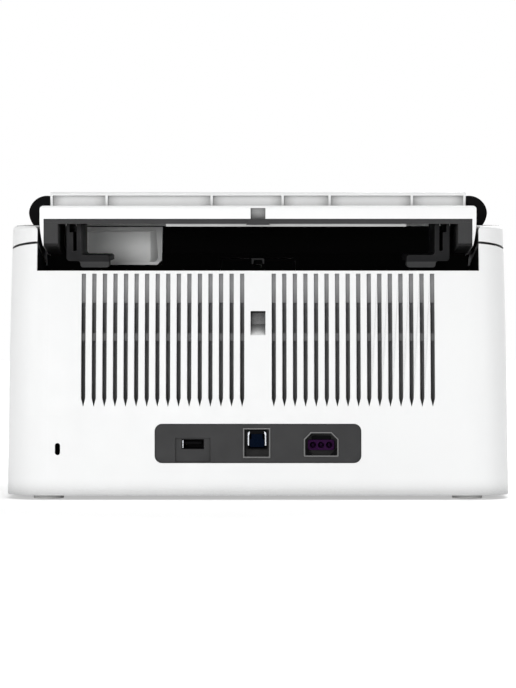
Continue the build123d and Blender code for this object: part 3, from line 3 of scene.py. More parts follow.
import bmesh
import bpy
from mathutils import Matrix, Vector


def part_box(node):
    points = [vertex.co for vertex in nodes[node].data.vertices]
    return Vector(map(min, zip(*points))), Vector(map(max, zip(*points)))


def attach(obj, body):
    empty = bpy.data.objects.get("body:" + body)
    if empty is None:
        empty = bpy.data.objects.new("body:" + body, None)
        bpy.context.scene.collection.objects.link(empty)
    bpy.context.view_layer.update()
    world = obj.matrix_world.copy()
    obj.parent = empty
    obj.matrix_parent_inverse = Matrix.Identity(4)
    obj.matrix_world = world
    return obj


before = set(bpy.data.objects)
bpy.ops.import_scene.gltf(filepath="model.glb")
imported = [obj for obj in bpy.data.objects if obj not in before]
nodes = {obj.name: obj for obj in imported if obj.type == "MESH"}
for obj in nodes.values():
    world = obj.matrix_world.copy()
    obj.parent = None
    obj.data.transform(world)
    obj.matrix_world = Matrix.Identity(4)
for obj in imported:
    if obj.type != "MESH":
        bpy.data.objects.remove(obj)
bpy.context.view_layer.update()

# Document scanner seen from behind: looks for the CAD nodes, and the small pieces that ride on them.
# Lengths are in metres, so a size in millimetres is written as a number times mm.

mm = 0.001
casing = "base"


# Node helpers

def new_material(name):
    mat = bpy.data.materials.new(name)
    mat.use_nodes = True
    tree = mat.node_tree
    shader = tree.nodes["Principled BSDF"]
    return mat, tree, shader


def coords(tree):
    return tree.nodes.new("ShaderNodeTexCoord").outputs["Object"]


def scaled_coords(tree, scale):
    mapping = tree.nodes.new("ShaderNodeMapping")
    mapping.inputs["Scale"].default_value = scale
    tree.links.new(coords(tree), mapping.inputs["Vector"])
    return mapping.outputs["Vector"]


def noise(tree, source, scale, detail=4.0, rough=0.55):
    node = tree.nodes.new("ShaderNodeTexNoise")
    node.inputs["Scale"].default_value = scale
    node.inputs["Detail"].default_value = detail
    node.inputs["Roughness"].default_value = rough
    tree.links.new(source, node.inputs["Vector"])
    return node.outputs["Fac"]


def ramp(tree, value, low, high, out_low, out_high):
    node = tree.nodes.new("ShaderNodeMapRange")
    node.inputs["From Min"].default_value = low
    node.inputs["From Max"].default_value = high
    node.inputs["To Min"].default_value = out_low
    node.inputs["To Max"].default_value = out_high
    tree.links.new(value, node.inputs["Value"])
    return node.outputs["Result"]


def vary_roughness(tree, shader, pattern, smooth, coarse, low=0.3, high=0.7):
    """Let a noise pattern move the roughness between two values."""
    tree.links.new(ramp(tree, pattern, low, high, smooth, coarse), shader.inputs["Roughness"])


def mix_colour(tree, fac, first, second):
    """Mix two colours, each a socket or three numbers, by a socket."""
    node = tree.nodes.new("ShaderNodeMix")
    node.data_type = "RGBA"
    tree.links.new(fac, node.inputs[0])
    for value, socket in ((first, node.inputs[6]), (second, node.inputs[7])):
        if hasattr(value, "links"):
            tree.links.new(value, socket)
        else:
            socket.default_value = (*value, 1.0)
    return node.outputs[2]


def maths(tree, operation, first, second):
    node = tree.nodes.new("ShaderNodeMath")
    node.operation = operation
    tree.links.new(first, node.inputs[0])
    tree.links.new(second, node.inputs[1])
    return node.outputs[0]


def add_relief(tree, shader, height, strength, depth, normal=None):
    """Fine relief on the shader's normal, over another normal if one is given."""
    node = tree.nodes.new("ShaderNodeBump")
    node.inputs["Strength"].default_value = strength
    node.inputs["Distance"].default_value = depth
    tree.links.new(height, node.inputs["Height"])
    if normal:
        tree.links.new(normal, node.inputs["Normal"])
    tree.links.new(node.outputs["Normal"], shader.inputs["Normal"])


def edge_mask(tree, normal):
    """1 on edges and corners, where the rounded normal leaves the plain one, and 0 on flat faces."""
    still_flat = 0.98
    full_edge = 0.80
    geometry = tree.nodes.new("ShaderNodeNewGeometry")
    turn = tree.nodes.new("ShaderNodeVectorMath")
    turn.operation = "DOT_PRODUCT"
    tree.links.new(normal, turn.inputs[0])
    tree.links.new(geometry.outputs["Normal"], turn.inputs[1])
    return ramp(tree, turn.outputs["Value"], still_flat, full_edge, 0.0, 1.0)


def crevice_mask(tree, distance):
    """1 in gaps and deep hollows and 0 in the open; it marks where painted shade goes."""
    closed_in = 0.22
    in_the_open = 0.92
    shelter = tree.nodes.new("ShaderNodeAmbientOcclusion")
    shelter.samples = 8
    shelter.inputs["Distance"].default_value = distance
    return ramp(tree, shelter.outputs["AO"], closed_in, in_the_open, 1.0, 0.0)


# Kinds of material

def moulded(name, colour, rough, grain=900.0, bump=0.12, tint=0.06, painted_edge_highlight=None, spec=0.4, dust_and_painted_shade=None,
            deep=8 * mm):
    """Moulded plastic: spark-eroded grain, slow tone drift, painted highlight on edges, painted shade in
    seams, gaps and hollows.
    """
    drift_scale = 14.0
    wear_scale = 90.0
    edge_radius = 0.4 * mm
    grain_depth = 0.08 * mm
    mat, tree, shader = new_material(name)
    place = coords(tree)
    fine = noise(tree, place, grain, 3.0, 0.6)
    drift = ramp(tree, noise(tree, place, drift_scale, 3.0, 0.5), 0.35, 0.65, 0.0, 1.0)
    darker = tuple(c * (1 - tint) for c in colour)
    tone = mix_colour(tree, drift, darker, colour)
    bevel = tree.nodes.new("ShaderNodeBevel")
    bevel.samples = 4
    bevel.inputs["Radius"].default_value = edge_radius
    # painted highlight on edges and corners
    if painted_edge_highlight:
        tone = mix_colour(tree, edge_mask(tree, bevel.outputs["Normal"]), tone, painted_edge_highlight)
    # painted shade: gaps and hollows turn to the shade colour
    if dust_and_painted_shade:
        tone = mix_colour(tree, crevice_mask(tree, deep), tone, dust_and_painted_shade)
    tree.links.new(tone, shader.inputs["Base Color"])
    wear = noise(tree, place, wear_scale, 2.0, 0.5)
    vary_roughness(tree, shader, wear, rough - 0.06, rough + 0.07)
    add_relief(tree, shader, fine, bump, grain_depth, bevel.outputs["Normal"])
    shader.inputs["Specular IOR Level"].default_value = spec
    return mat


def metal(name, colour, rough, scale=(40.0, 900.0, 900.0), bump=0.1):
    """Rolled or plated metal with a drawn grain along one axis."""
    dulled = 0.82
    grain_depth = 0.05 * mm
    mat, tree, shader = new_material(name)
    grain = noise(tree, scaled_coords(tree, scale), 1.0, 5.0, 0.6)
    dull = tuple(c * dulled for c in colour)
    tree.links.new(mix_colour(tree, grain, dull, colour), shader.inputs["Base Color"])
    vary_roughness(tree, shader, grain, rough - 0.08, rough + 0.1)
    add_relief(tree, shader, grain, bump, grain_depth)
    shader.inputs["Metallic"].default_value = 1.0
    return mat


def rubber(name, colour, rough=0.75):
    """Ground rubber: matt, with a fine speckled relief and paler dusty patches."""
    speck_scale = 1600.0
    dust_scale = 60.0
    speck_depth = 0.1 * mm
    mat, tree, shader = new_material(name)
    place = coords(tree)
    speck = noise(tree, place, speck_scale, 2.0, 0.7)
    dust_and_painted_shade = ramp(tree, noise(tree, place, dust_scale, 4.0, 0.6), 0.45, 0.75, 0.0, 0.5)
    paler = tuple(min(1.0, c * 1.7 + 0.02) for c in colour)
    tree.links.new(mix_colour(tree, dust_and_painted_shade, colour, paler), shader.inputs["Base Color"])
    vary_roughness(tree, shader, speck, rough - 0.08, rough + 0.1)
    add_relief(tree, shader, speck, 0.35, speck_depth)
    return mat


def clear_glass(name):
    """Clear glass with a faint smear."""
    smear_scale = 35.0
    mat, tree, shader = new_material(name)
    smear = noise(tree, coords(tree), smear_scale, 3.0, 0.6)
    vary_roughness(tree, shader, smear, 0.03, 0.09, low=0.4)
    shader.inputs["Base Color"].default_value = (0.86, 0.92, 0.9, 1.0)
    shader.inputs["Transmission Weight"].default_value = 0.9
    shader.inputs["IOR"].default_value = 1.5
    return mat


def board(name):
    """Green solder mask on an upright board, with faint copper tracks under it."""
    cells_per_metre = 60.0
    track_width = 0.03
    gleam_scale = 200.0
    mat, tree, shader = new_material(name)
    upright = tree.nodes.new("ShaderNodeSeparateXYZ")
    flat = tree.nodes.new("ShaderNodeCombineXYZ")
    tree.links.new(coords(tree), upright.inputs[0])
    tree.links.new(upright.outputs["X"], flat.inputs["X"])
    tree.links.new(upright.outputs["Z"], flat.inputs["Y"])
    cells = tree.nodes.new("ShaderNodeTexBrick")
    cells.inputs["Scale"].default_value = cells_per_metre
    cells.inputs["Mortar Size"].default_value = track_width
    cells.inputs["Color1"].default_value = (0.012, 0.11, 0.045, 1)
    cells.inputs["Color2"].default_value = (0.016, 0.13, 0.05, 1)
    cells.inputs["Mortar"].default_value = (0.03, 0.2, 0.08, 1)
    tree.links.new(flat.outputs[0], cells.inputs["Vector"])
    tree.links.new(cells.outputs["Color"], shader.inputs["Base Color"])
    vary_roughness(tree, shader, noise(tree, coords(tree), gleam_scale), 0.28, 0.42)
    return mat


def blend_along(mat, axis, start, end, colour):
    """Turn a material's colour to another one between two places along an axis."""
    tree = mat.node_tree
    shader = tree.nodes["Principled BSDF"]
    place = tree.nodes.new("ShaderNodeSeparateXYZ")
    tree.links.new(coords(tree), place.inputs[0])
    share = ramp(tree, place.outputs[axis], start, end, 0.0, 1.0)
    plain = shader.inputs["Base Color"].links[0].from_socket
    tree.links.new(mix_colour(tree, share, plain, colour), shader.inputs["Base Color"])


# Materials of the casing and the hatch

shell_white = (0.88, 0.885, 0.885)
# Painted shade colours, put into the seams, gaps and recesses of the white parts by the crevice mask
seam_shade = (0.010, 0.010, 0.011)
lid_shade = (0.12, 0.12, 0.12)
hatch_shade = (0.34, 0.34, 0.34)
white = moulded("white_shell", shell_white, 0.46, 1100.0, 0.10, 0.010, dust_and_painted_shade=seam_shade, deep=13 * mm)
white_lid = moulded("white_lid", (0.90, 0.905, 0.905), 0.36, 1300.0, 0.06, 0.008, dust_and_painted_shade=lid_shade)
white_hatch = moulded("white_hatch", shell_white, 0.42, 1100.0, 0.08, 0.010, dust_and_painted_shade=hatch_shade)
black = moulded("bay_black", (0.002, 0.002, 0.002), 0.8, 900.0, 0.18, 0.25, spec=0.06)
# The paler edge colours given to the cheeks, dark plastic, guides, keys, tray and port panel are painted
# highlights.
cheek = moulded("cheek_black", (0.003, 0.003, 0.0033), 0.6, 1000.0, tint=0.15, painted_edge_highlight=(0.012, 0.012, 0.013),
                spec=0.04)
dark = moulded("dark_plastic", (0.050, 0.050, 0.051), 0.6, 900.0, 0.18, 0.12, (0.08, 0.08, 0.08), 0.12)
guide_plastic = moulded("guide_plastic", (0.008, 0.008, 0.009), 0.5, 1000.0, tint=0.15,
                        painted_edge_highlight=(0.05, 0.05, 0.05), spec=0.12)
pale = moulded("pale_grey", (0.90, 0.905, 0.90), 0.45, 1000.0, tint=0.03)
rest = moulded("rest_grey", (0.52, 0.525, 0.52), 0.45, 1000.0, tint=0.05)
gloss = moulded("panel_gloss", (0.012, 0.012, 0.013), 0.20, 600.0, 0.02, 0.10, spec=0.5)
keys = moulded("key_grey", (0.33, 0.34, 0.35), 0.42, 1000.0, tint=0.05, painted_edge_highlight=(0.45, 0.45, 0.45))
tray = moulded("tray_grey", (0.040, 0.040, 0.042), 0.6, 800.0, 0.25, 0.12, (0.08, 0.08, 0.08), 0.2)
lamp_window = moulded("lamp_window", (0.42, 0.62, 0.55), 0.25, 300.0, 0.03, 0.05, spec=0.5)

# Materials of the sockets, the sensors and the inner pieces

acetal = moulded("acetal", (0.66, 0.64, 0.58), 0.38, 500.0, 0.06, 0.05)
purple = moulded("inlet_purple", (0.022, 0.003, 0.030), 0.6, tint=0.15, spec=0.05)
blue = moulded("tongue_blue", (0.0006, 0.003, 0.010), 0.6, bump=0.10, tint=0.15, spec=0.02)
# black plastic for tongues and keys, and painted shade on the USB-A socket's shell
insert_and_socket_shade = moulded("socket_black_and_shade", (0.003, 0.003, 0.0035), 0.6, tint=0.15, spec=0.03)
# painted shade: black for the inside of the lock slot
slot_painted_shade = moulded("slot_painted_shade", (0.002, 0.002, 0.002), 0.9, tint=0.15, spec=0.0)
sensor = moulded("sensor_black", (0.010, 0.010, 0.011), 0.5, bump=0.15, tint=0.2, spec=0.2)
steel = metal("plated_steel", (0.62, 0.63, 0.65), 0.28)
nickel = metal("dull_nickel", (0.22, 0.22, 0.23), 0.45)
shell_steel = metal("socket_steel", (0.36, 0.37, 0.39), 0.42)
blackened = metal("blackened_steel", (0.006, 0.006, 0.006), 0.6)
zinc = metal("zinc_frame", (0.34, 0.35, 0.36), 0.38, (60.0, 60.0, 60.0), 0.2)
gold = metal("contact_gold", (0.72, 0.53, 0.22), 0.25)
foot_rubber = rubber("foot_rubber", (0.72, 0.72, 0.71))
roller_rubber = rubber("roller_rubber", (0.075, 0.078, 0.085), 0.62)
black_rubber = rubber("black_rubber", (0.006, 0.006, 0.006), 0.8)
glass = clear_glass("sensor_glass")
pcb = board("board_green")

# Port panel: painted highlight, paler where the rims of the sockets stand out; its hollows get painted
# shade
port = moulded("port_panel_plastic", (0.036, 0.036, 0.037), 0.5, 1000.0, 0.15, 0.10, (0.06, 0.06, 0.06),
               0.15, (0.008, 0.008, 0.008))
rim_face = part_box("port_panel")[1].y
blend_along(port, "Y", rim_face - 0.3 * mm, rim_face - 0.1 * mm, (0.17, 0.17, 0.17))

# Paper guides: painted light, the step under their foot is paler
foot_step_height = 3.8 * mm
foot_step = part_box("guide_right")[0].z + foot_step_height
blend_along(guide_plastic, "Z", foot_step, foot_step - 0.6 * mm, (0.05, 0.05, 0.051))

# Backing panel behind the vents: painted shade below, where the light hardly reaches it
shade_begins = 128 * mm
shade_full = 112 * mm
baffle = moulded("baffle_grey", (0.50, 0.50, 0.51), 0.7, 900.0, 0.18, 0.12, spec=0.15)
blend_along(baffle, "Z", shade_begins, shade_full, (0.24, 0.24, 0.245))

looks = {
    white: "rear_cover side_cover_right side_cover_left shoulder_cap_right shoulder_cap_left",
    white_lid: "input_tray_lid",
    white_hatch: "hatch_shell",
    baffle: "vent_baffle",
    black: "bay_liner hatch_inner_cover separation_cover hatch_under_panel"
           " upper_paper_guide lower_paper_guide",
    cheek: "hatch_cheek_right hatch_cheek_left",
    dark: "base_pan tray_plate tray_arms rack_cover",
    port: "port_panel",
    guide_plastic: "guide_right guide_left",
    pale: "control_pocket",
    rest: "paper_rest",
    gloss: "control_panel",
    keys: "power_button stop_button start_button release_button",
    tray: "output_tray output_extension output_stop",
    foot_rubber: "feet",
    roller_rubber: "pick_tyre feed_tyres exit_tyres feed_pinch_rollers exit_pinch_rollers",
    black_rubber: "separation_roller",
    acetal: "motor_pinion idler_gear relay_gear pick_shaft feed_shaft exit_shaft shaft_bushes guide_pinion",
    zinc: "side_frames hatch_brackets",
    blackened: "lock_plate",
    steel: "drive_motor",
    # Painted shade: the USB-A socket's steel shell is coloured black for its dark inside.
    insert_and_socket_shade: "usb_a_socket usb_b_socket",
    purple: "power_inlet",
    pcb: "main_board",
    sensor: "rear_sensor front_sensor",
    glass: "rear_sensor_glass front_sensor_glass",
}
for mat, names in looks.items():
    for name in names.split():
        data = nodes[name].data
        data.materials.clear()
        data.materials.append(mat)


# Mesh helpers

def finish_piece(name, mesh, body, mat, rounding=0.0):
    """Turn a bmesh into an object with rounded edges and a material, riding on a body."""
    bmesh.ops.recalc_face_normals(mesh, faces=mesh.faces)
    data = bpy.data.meshes.new(name)
    mesh.to_mesh(data)
    mesh.free()
    data.materials.append(mat)
    piece = bpy.data.objects.new(name, data)
    bpy.context.collection.objects.link(piece)
    if rounding:
        modifier = piece.modifiers.new("rounding", "BEVEL")
        modifier.width = rounding
        modifier.segments = 2
        modifier.limit_method = "ANGLE"
    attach(piece, body)


def span(node):
    """X, Y and Z range of a CAD node at rest."""
    low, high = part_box(node)
    return (low.x, high.x), (low.y, high.y), (low.z, high.z)


def middle_of(ends):
    return (ends[0] + ends[1]) / 2


def spread(middle, half):
    """Range that reaches as far to both sides of a middle."""
    return (middle - half, middle + half)


def cut_outline(x, z, inset=0.0, low_cut=0.1 * mm, high_cut=0.1 * mm):
    """Rectangle in X and Z, drawn in by the inset, with its low and high corners cut."""
    x_low, x_high = x[0] + inset, x[1] - inset
    z_low, z_high = z[0] + inset, z[1] - inset
    return [
        (x_low + low_cut, z_low),
        (x_high - low_cut, z_low),
        (x_high, z_low + low_cut),
        (x_high, z_high - high_cut),
        (x_high - high_cut, z_high),
        (x_low + high_cut, z_high),
        (x_low, z_high - high_cut),
        (x_low, z_low + low_cut),
    ]


def join_loops(mesh, first, second):
    for index in range(len(first)):
        mesh.faces.new((first[index - 1], first[index], second[index], second[index - 1]))


def outline_loop(mesh, outline, y):
    return [mesh.verts.new((x, y, z)) for x, z in outline]


def close_loops(mesh, loops):
    """Join loops one after another and cap both ends."""
    for first, second in zip(loops, loops[1:]):
        join_loops(mesh, first, second)
    mesh.faces.new(loops[0])
    mesh.faces.new(loops[-1])


def add_prism(mesh, outline, y_low, y_high):
    """Closed prism of an X and Z outline between two depths."""
    close_loops(mesh, [outline_loop(mesh, outline, y) for y in (y_low, y_high)])


def add_ring(mesh, outer, inner, y_low, y_high):
    """Closed ring between two outlines of as many points."""
    steps = ((outer, y_low), (outer, y_high), (inner, y_high), (inner, y_low))
    loops = [outline_loop(mesh, outline, y) for outline, y in steps]
    for first, second in zip(loops, loops[1:] + loops[:1]):
        join_loops(mesh, first, second)


def circle_angles(sides):
    return [2 * math.pi * step / sides for step in range(sides)]


def add_pin(mesh, x, z, y_low, y_high, radius, sides=16):
    """Round pin along Y with a domed end."""
    dome = 0.5 * radius
    tip = 0.45
    loops = []
    for y, share in ((y_low, 1.0), (y_high - dome, 1.0), (y_high, tip)):
        reach = share * radius
        ring = [(x + reach * math.cos(a), z + reach * math.sin(a)) for a in circle_angles(sides)]
        loops.append(outline_loop(mesh, ring, y))
    close_loops(mesh, loops)


def add_screw(mesh, x, y, z, radius=3.0 * mm, sides=24):
    """Pan-head screw under a flat face, with a six-lobed recess."""
    recess = 0.40
    lobe_height = 0.16
    angles = circle_angles(sides)
    lobes = [recess * (1 + lobe_height * math.cos(6 * angle)) for angle in angles]
    profile = (
        ([1.0] * sides, 0.0),
        ([0.97] * sides, -0.9 * mm),
        ([0.78] * sides, -1.3 * mm),
        (lobes, -1.45 * mm),
        (lobes, -0.3 * mm),
    )
    loops = []
    for shares, drop in profile:
        points = [
            (x + radius * share * math.cos(angle), y + radius * share * math.sin(angle), z + drop)
            for share, angle in zip(shares, angles)
        ]
        loops.append([mesh.verts.new(point) for point in points])
    close_loops(mesh, loops)


# Small pieces that ride on the CAD's bodies

def usb_a_pieces():
    """Black tongue with four contacts under it, and the folded spring at one side."""
    x, y, z = span("usb_a_socket")
    front = y[1]
    side_gap = 1.3 * mm
    corner = 0.2 * mm
    middle_z = middle_of(z)
    tongue_x = (x[0] + side_gap, x[1] - side_gap)
    tongue_y = (front - 9 * mm, front - 1.9 * mm)
    tongue_z = (middle_z - 0.1 * mm, middle_z + 1.5 * mm)
    mesh = bmesh.new()
    add_prism(mesh, cut_outline(tongue_x, tongue_z, 0, corner, corner), *tongue_y)
    finish_piece("usb_a_tongue", mesh, casing, insert_and_socket_shade)

    contact_count = 4
    contact_half = 0.55 * mm
    contact_corner = 0.02 * mm
    contact_setback = 2 * mm
    contact_z = (tongue_z[0] - 0.08 * mm, tongue_z[0] + 0.05 * mm)
    pitch = (tongue_x[1] - tongue_x[0]) / contact_count
    mesh = bmesh.new()
    for step in range(contact_count):
        contact_x = spread(tongue_x[0] + (step + 0.5) * pitch, contact_half)
        outline = cut_outline(contact_x, contact_z, 0, contact_corner, contact_corner)
        add_prism(mesh, outline, tongue_y[0], tongue_y[1] - contact_setback)
    finish_piece("usb_a_contacts", mesh, casing, gold)

    spring_x = (x[1] - 1.0 * mm, x[1] - 0.45 * mm)
    spring_y = (front - 6 * mm, front - 0.1 * mm)
    spring_z = (z[0] + 0.7 * mm, z[1] - 0.7 * mm)
    mesh = bmesh.new()
    add_prism(mesh, cut_outline(spring_x, spring_z, 0, corner, corner), *spring_y)
    finish_piece("usb_a_spring", mesh, casing, shell_steel)


def usb_b_pieces():
    """Dark blue tongue, wider below, between the two steel sides of the shell."""
    x, y, z = span("usb_b_socket")
    front = y[1]
    low_gap = 1.3 * mm
    high_gap = 2.2 * mm
    low_corner = 0.4 * mm
    step_z = z[0] + 0.55 * (z[1] - z[0])
    low_x = (x[0] + low_gap, x[1] - low_gap)
    low_z = (z[0] + 1.2 * mm, step_z)
    high_x = (x[0] + high_gap, x[1] - high_gap)
    high_z = (step_z, z[1] - 2.1 * mm)
    tongue_y = (front - 8 * mm, front - 0.4 * mm)
    mesh = bmesh.new()
    add_prism(mesh, cut_outline(low_x, low_z, 0, low_corner, low_corner), *tongue_y)
    add_prism(mesh, cut_outline(high_x, high_z), *tongue_y)
    finish_piece("usb_b_tongue", mesh, casing, blue)

    foot = z[0] + 2.2 * mm
    head = z[1] - 1.5 * mm
    outer = 0.1 * mm
    inner = 0.75 * mm
    fold = 1.2 * mm
    mesh = bmesh.new()
    for side, wall in ((-1, x[0]), (1, x[1])):
        outline = [
            (wall - outer * side, foot),
            (wall - outer * side, head),
            (wall - fold * side, head + 1.0 * mm),
            (wall - fold * side, head - 0.3 * mm),
            (wall - inner * side, head - 1.4 * mm),
            (wall - inner * side, foot),
        ]
        add_prism(mesh, outline, front - 0.3 * mm, front + 0.12 * mm)
    finish_piece("usb_b_shell", mesh, casing, shell_steel)


def inlet_pieces():
    """Pins in their bores, the moulded key over them, and the rim with two square lower corners."""
    x, y, z = span("power_inlet")
    front = y[1]
    middle_x = middle_of(x)
    middle_z = middle_of(z)
    pin_pitch = 4.8 * mm
    pin_radius = 0.85 * mm
    mesh = bmesh.new()
    for shift in (-pin_pitch, 0, pin_pitch):
        add_pin(mesh, middle_x + shift, middle_z, front - 8 * mm, front - 3 * mm, pin_radius)
    finish_piece("inlet_pins", mesh, casing, nickel)

    key_x = spread(middle_x, 5.6 * mm)
    key_z = (z[1] + 0.05 * mm, z[1] + 2.4 * mm)
    mesh = bmesh.new()
    add_prism(mesh, cut_outline(key_x, key_z, 0, 0.2 * mm, 0.5 * mm), front - 4 * mm, front - 0.8 * mm)
    finish_piece("inlet_key", mesh, casing, insert_and_socket_shade, 0.15 * mm)

    rim_half_width = 10.3 * mm
    rim_half_height = 7.35 * mm
    rim_rise = 0.4 * mm
    rim_cut = 4.2 * mm
    rim_wall = 0.8 * mm
    rim_x = spread(middle_x, rim_half_width)
    rim_z = spread(middle_z + rim_rise, rim_half_height)
    rim_back = rim_face - 0.4 * mm
    outer = cut_outline(rim_x, rim_z, 0, 0.5 * mm, rim_cut)
    inner = cut_outline(rim_x, rim_z, rim_wall, 0.3 * mm, rim_cut - 0.6 * rim_wall)
    mesh = bmesh.new()
    add_ring(mesh, outer, inner, rim_back, rim_face + 0.05 * mm)
    finish_piece("inlet_rim", mesh, casing, port)

    reach = rim_cut + 0.4 * mm
    corner_z = rim_z[0] + rim_wall
    mesh = bmesh.new()
    for side in (-1, 1):
        corner_x = middle_x + side * (rim_half_width - rim_wall)
        outline = [(corner_x, corner_z), (corner_x - side * reach, corner_z), (corner_x, corner_z + reach)]
        add_prism(mesh, outline, rim_back, rim_face + 0.02 * mm)
    finish_piece("inlet_foot", mesh, casing, insert_and_socket_shade)


def lock_sleeve():
    """Black blind sleeve that lines the lock slot and passes through its plate; its black is painted shade
    inside the slot.
    """
    x, y, z = span("lock_plate")
    slot_shift = 2 * mm
    slot_half_width = 1.5 * mm
    slot_half_height = 3.5 * mm
    corner = 1.0 * mm
    clearance = 0.02 * mm
    sleeve_x = spread(middle_of(x) + slot_shift, slot_half_width)
    sleeve_z = spread(middle_of(z), slot_half_height)
    sleeve_back = y[0] - 6 * mm
    outer = cut_outline(sleeve_x, sleeve_z, clearance, corner, corner)
    inner = cut_outline(sleeve_x, sleeve_z, 0.30 * mm, 0.9 * mm, 0.9 * mm)
    floor = cut_outline(sleeve_x, sleeve_z, 0.1 * mm, corner, corner)
    mesh = bmesh.new()
    add_ring(mesh, outer, inner, sleeve_back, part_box("rear_cover")[1].y - 0.1 * mm)
    add_prism(mesh, floor, sleeve_back - 0.2 * mm, sleeve_back + 0.1 * mm)
    finish_piece("lock_slot_sleeve", mesh, casing, slot_painted_shade)


def tab_highlight():
    """Painted highlight: a paler edge around the arch of the separation cover's finger tab."""
    cover = nodes["separation_cover"].data
    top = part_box("separation_cover")[1].z
    front = max(v.co.y for v in cover.vertices if v.co.z > top - 0.1 * mm)
    foot = top - 3.6 * mm
    right_half = [
        (3.4 * mm, top),
        (4.0 * mm, top - 0.6 * mm),
        (4.0 * mm, foot),
        (3.0 * mm, foot),
        (2.6 * mm, top - 1.0 * mm),
    ]
    left_half = [(-x, z) for x, z in reversed(right_half)]
    mesh = bmesh.new()
    add_prism(mesh, right_half + left_half, front - 0.5 * mm, front + 0.15 * mm)
    finish_piece("cover_tab_edge", mesh, "hatch", dark)


def panel_lamps():
    """Lamp windows beside the three buttons, flush with the slanted control panel."""
    front_faces = [face for face in nodes["control_panel"].data.polygons if face.normal.y < -0.5]
    panel_face = max(front_faces, key=lambda face: face.area)
    outward = Vector(panel_face.normal)
    across = Vector((1, 0, 0))
    upward = outward.cross(across)
    if upward.z < 0:
        upward.negate()
    turned = Matrix((across, outward, upward)).transposed().to_4x4()
    window_shift = 14 * mm
    outline = cut_outline(spread(0, 1.7 * mm), spread(0, 0.5 * mm), 0, 0.3 * mm, 0.3 * mm)
    mesh = bmesh.new()
    for button in ("power_button", "stop_button", "start_button"):
        low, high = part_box(button)
        middle = (low + high) / 2
        middle -= outward * (middle - Vector(panel_face.center)).dot(outward) + across * window_shift
        window = bmesh.new()
        add_prism(window, outline, -0.3 * mm, 0.05 * mm)
        window.transform(Matrix.Translation(middle) @ turned)
        part = bpy.data.meshes.new("window")
        window.to_mesh(part)
        window.free()
        mesh.from_mesh(part)
    finish_piece("panel_lamps", mesh, "hatch", lamp_window)


def base_screws():
    """Six screws that hold the base pan, on its underside."""
    x, y, z = span("base_pan")
    mesh = bmesh.new()
    for x_share in (-0.75, 0.0, 0.75):
        for y_share in (-0.55, 0.70):
            add_screw(mesh, x_share * x[1], y_share * y[1], z[0])
    finish_piece("base_screws", mesh, casing, zinc)


usb_a_pieces()
usb_b_pieces()
inlet_pieces()
lock_sleeve()
tab_highlight()
panel_lamps()
base_screws()


# Camera, floor and light

def set_camera():
    """Level camera behind the scanner, at about half its height."""
    distance = 1.599
    height = 0.092
    camera = bpy.data.objects.new("camera", bpy.data.cameras.new("camera"))
    bpy.context.collection.objects.link(camera)
    camera.location = (0.0, distance, height)
    camera.rotation_euler = (math.radians(90), 0, math.radians(180))
    camera.data.sensor_width = 36.0
    camera.data.lens = 133.0
    camera.data.clip_end = 50.0
    bpy.context.scene.camera = camera


def seen_directly(tree):
    """1 for camera rays and for mirrored or transmitted ones, 0 for the light that reaches surfaces."""
    path = tree.nodes.new("ShaderNodeLightPath")
    mirrored = maths(tree, "MAXIMUM", path.outputs["Is Glossy Ray"], path.outputs["Is Transmission Ray"])
    return maths(tree, "MAXIMUM", path.outputs["Is Camera Ray"], mirrored)


def background(tree, strength):
    node = tree.nodes.new("ShaderNodeBackground")
    node.inputs["Color"].default_value = (1, 1, 1, 1)
    node.inputs["Strength"].default_value = strength
    return node


def light_world(strength):
    """Plain white where the camera or a mirror looks, and a weaker white light on the surfaces."""
    world = bpy.data.worlds.new("studio")
    bpy.context.scene.world = world
    world.use_nodes = True
    tree = world.node_tree
    both = tree.nodes.new("ShaderNodeMixShader")
    tree.links.new(seen_directly(tree), both.inputs[0])
    tree.links.new(background(tree, strength).outputs[0], both.inputs[1])
    tree.links.new(background(tree, 1.0).outputs[0], both.inputs[2])
    tree.links.new(both.outputs[0], tree.nodes["World Output"].inputs["Surface"])


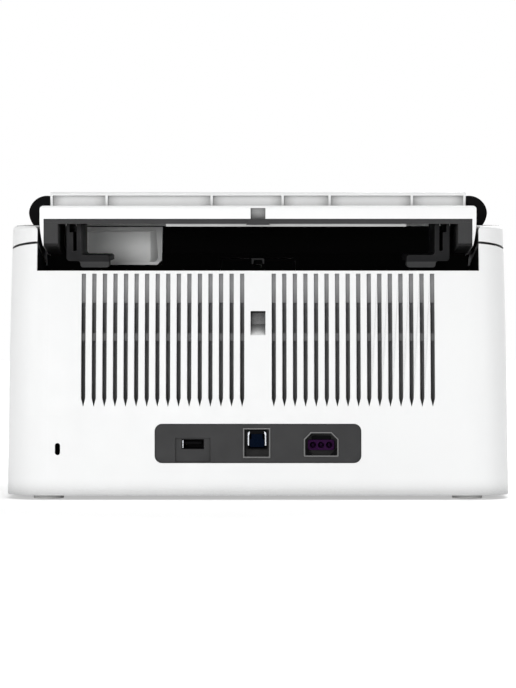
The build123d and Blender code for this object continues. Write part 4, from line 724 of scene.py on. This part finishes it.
def lay_floor():
    """Pale floor that keeps the shadow near the scanner and fades to white away from it."""
    half_size = 12.0
    near_glow = 0.45
    fade_start = 0.25
    fade_end = 0.8
    data = bpy.data.meshes.new("floor")
    plane = bmesh.new()
    bmesh.ops.create_grid(plane, x_segments=8, y_segments=8, size=half_size)
    plane.to_mesh(data)
    plane.free()
    floor = bpy.data.objects.new("floor", data)
    bpy.context.collection.objects.link(floor)
    mat, tree, shader = new_material("floor_pale")
    shader.inputs["Base Color"].default_value = (0.86, 0.86, 0.86, 1)
    shader.inputs["Roughness"].default_value = 0.9
    shader.inputs["Specular IOR Level"].default_value = 0.0
    glow = tree.nodes.new("ShaderNodeEmission")
    reach = tree.nodes.new("ShaderNodeVectorMath")
    reach.operation = "LENGTH"
    tree.links.new(coords(tree), reach.inputs[0])
    fade = ramp(tree, reach.outputs["Value"], fade_start, fade_end, near_glow, 1.0)
    tree.links.new(maths(tree, "MULTIPLY", seen_directly(tree), fade), glow.inputs["Strength"])
    both = tree.nodes.new("ShaderNodeAddShader")
    tree.links.new(shader.outputs[0], both.inputs[0])
    tree.links.new(glow.outputs[0], both.inputs[1])
    tree.links.new(both.outputs[0], tree.nodes["Material Output"].inputs["Surface"])
    data.materials.append(mat)


def area(name, place, aim, size, power):
    """Rectangular lamp at a place, turned towards what it lights."""
    lamp = bpy.data.lights.new(name, "AREA")
    lamp.shape = "RECTANGLE"
    lamp.size, lamp.size_y = size
    lamp.energy = power
    holder = bpy.data.objects.new(name, lamp)
    holder.location = place
    holder.rotation_euler = (Vector(aim) - Vector(place)).to_track_quat("-Z", "Y").to_euler()
    bpy.context.collection.objects.link(holder)


set_camera()
light_world(0.30)
lay_floor()

area("side_left", (1.5, 1.2, 0.35), aim=(0, 0, 0.12), size=(1.0, 0.6), power=8.8)
area("side_right", (-1.5, 1.2, 0.35), aim=(0, 0, 0.12), size=(1.0, 0.6), power=7.6)
area("low_left", (0.32, 2.0, 0.15), aim=(0, 0, 0.15), size=(0.4, 0.25), power=10.5)
area("front", (-0.9, -2.0, 1.3), aim=(0, 0, 0.1), size=(1.6, 1.2), power=34)
area("top", (0.0, 0.3, 2.2), aim=(0, 0, 0.1), size=(2.0, 2.0), power=11)

bpy.context.scene.view_settings.view_transform = "Standard"
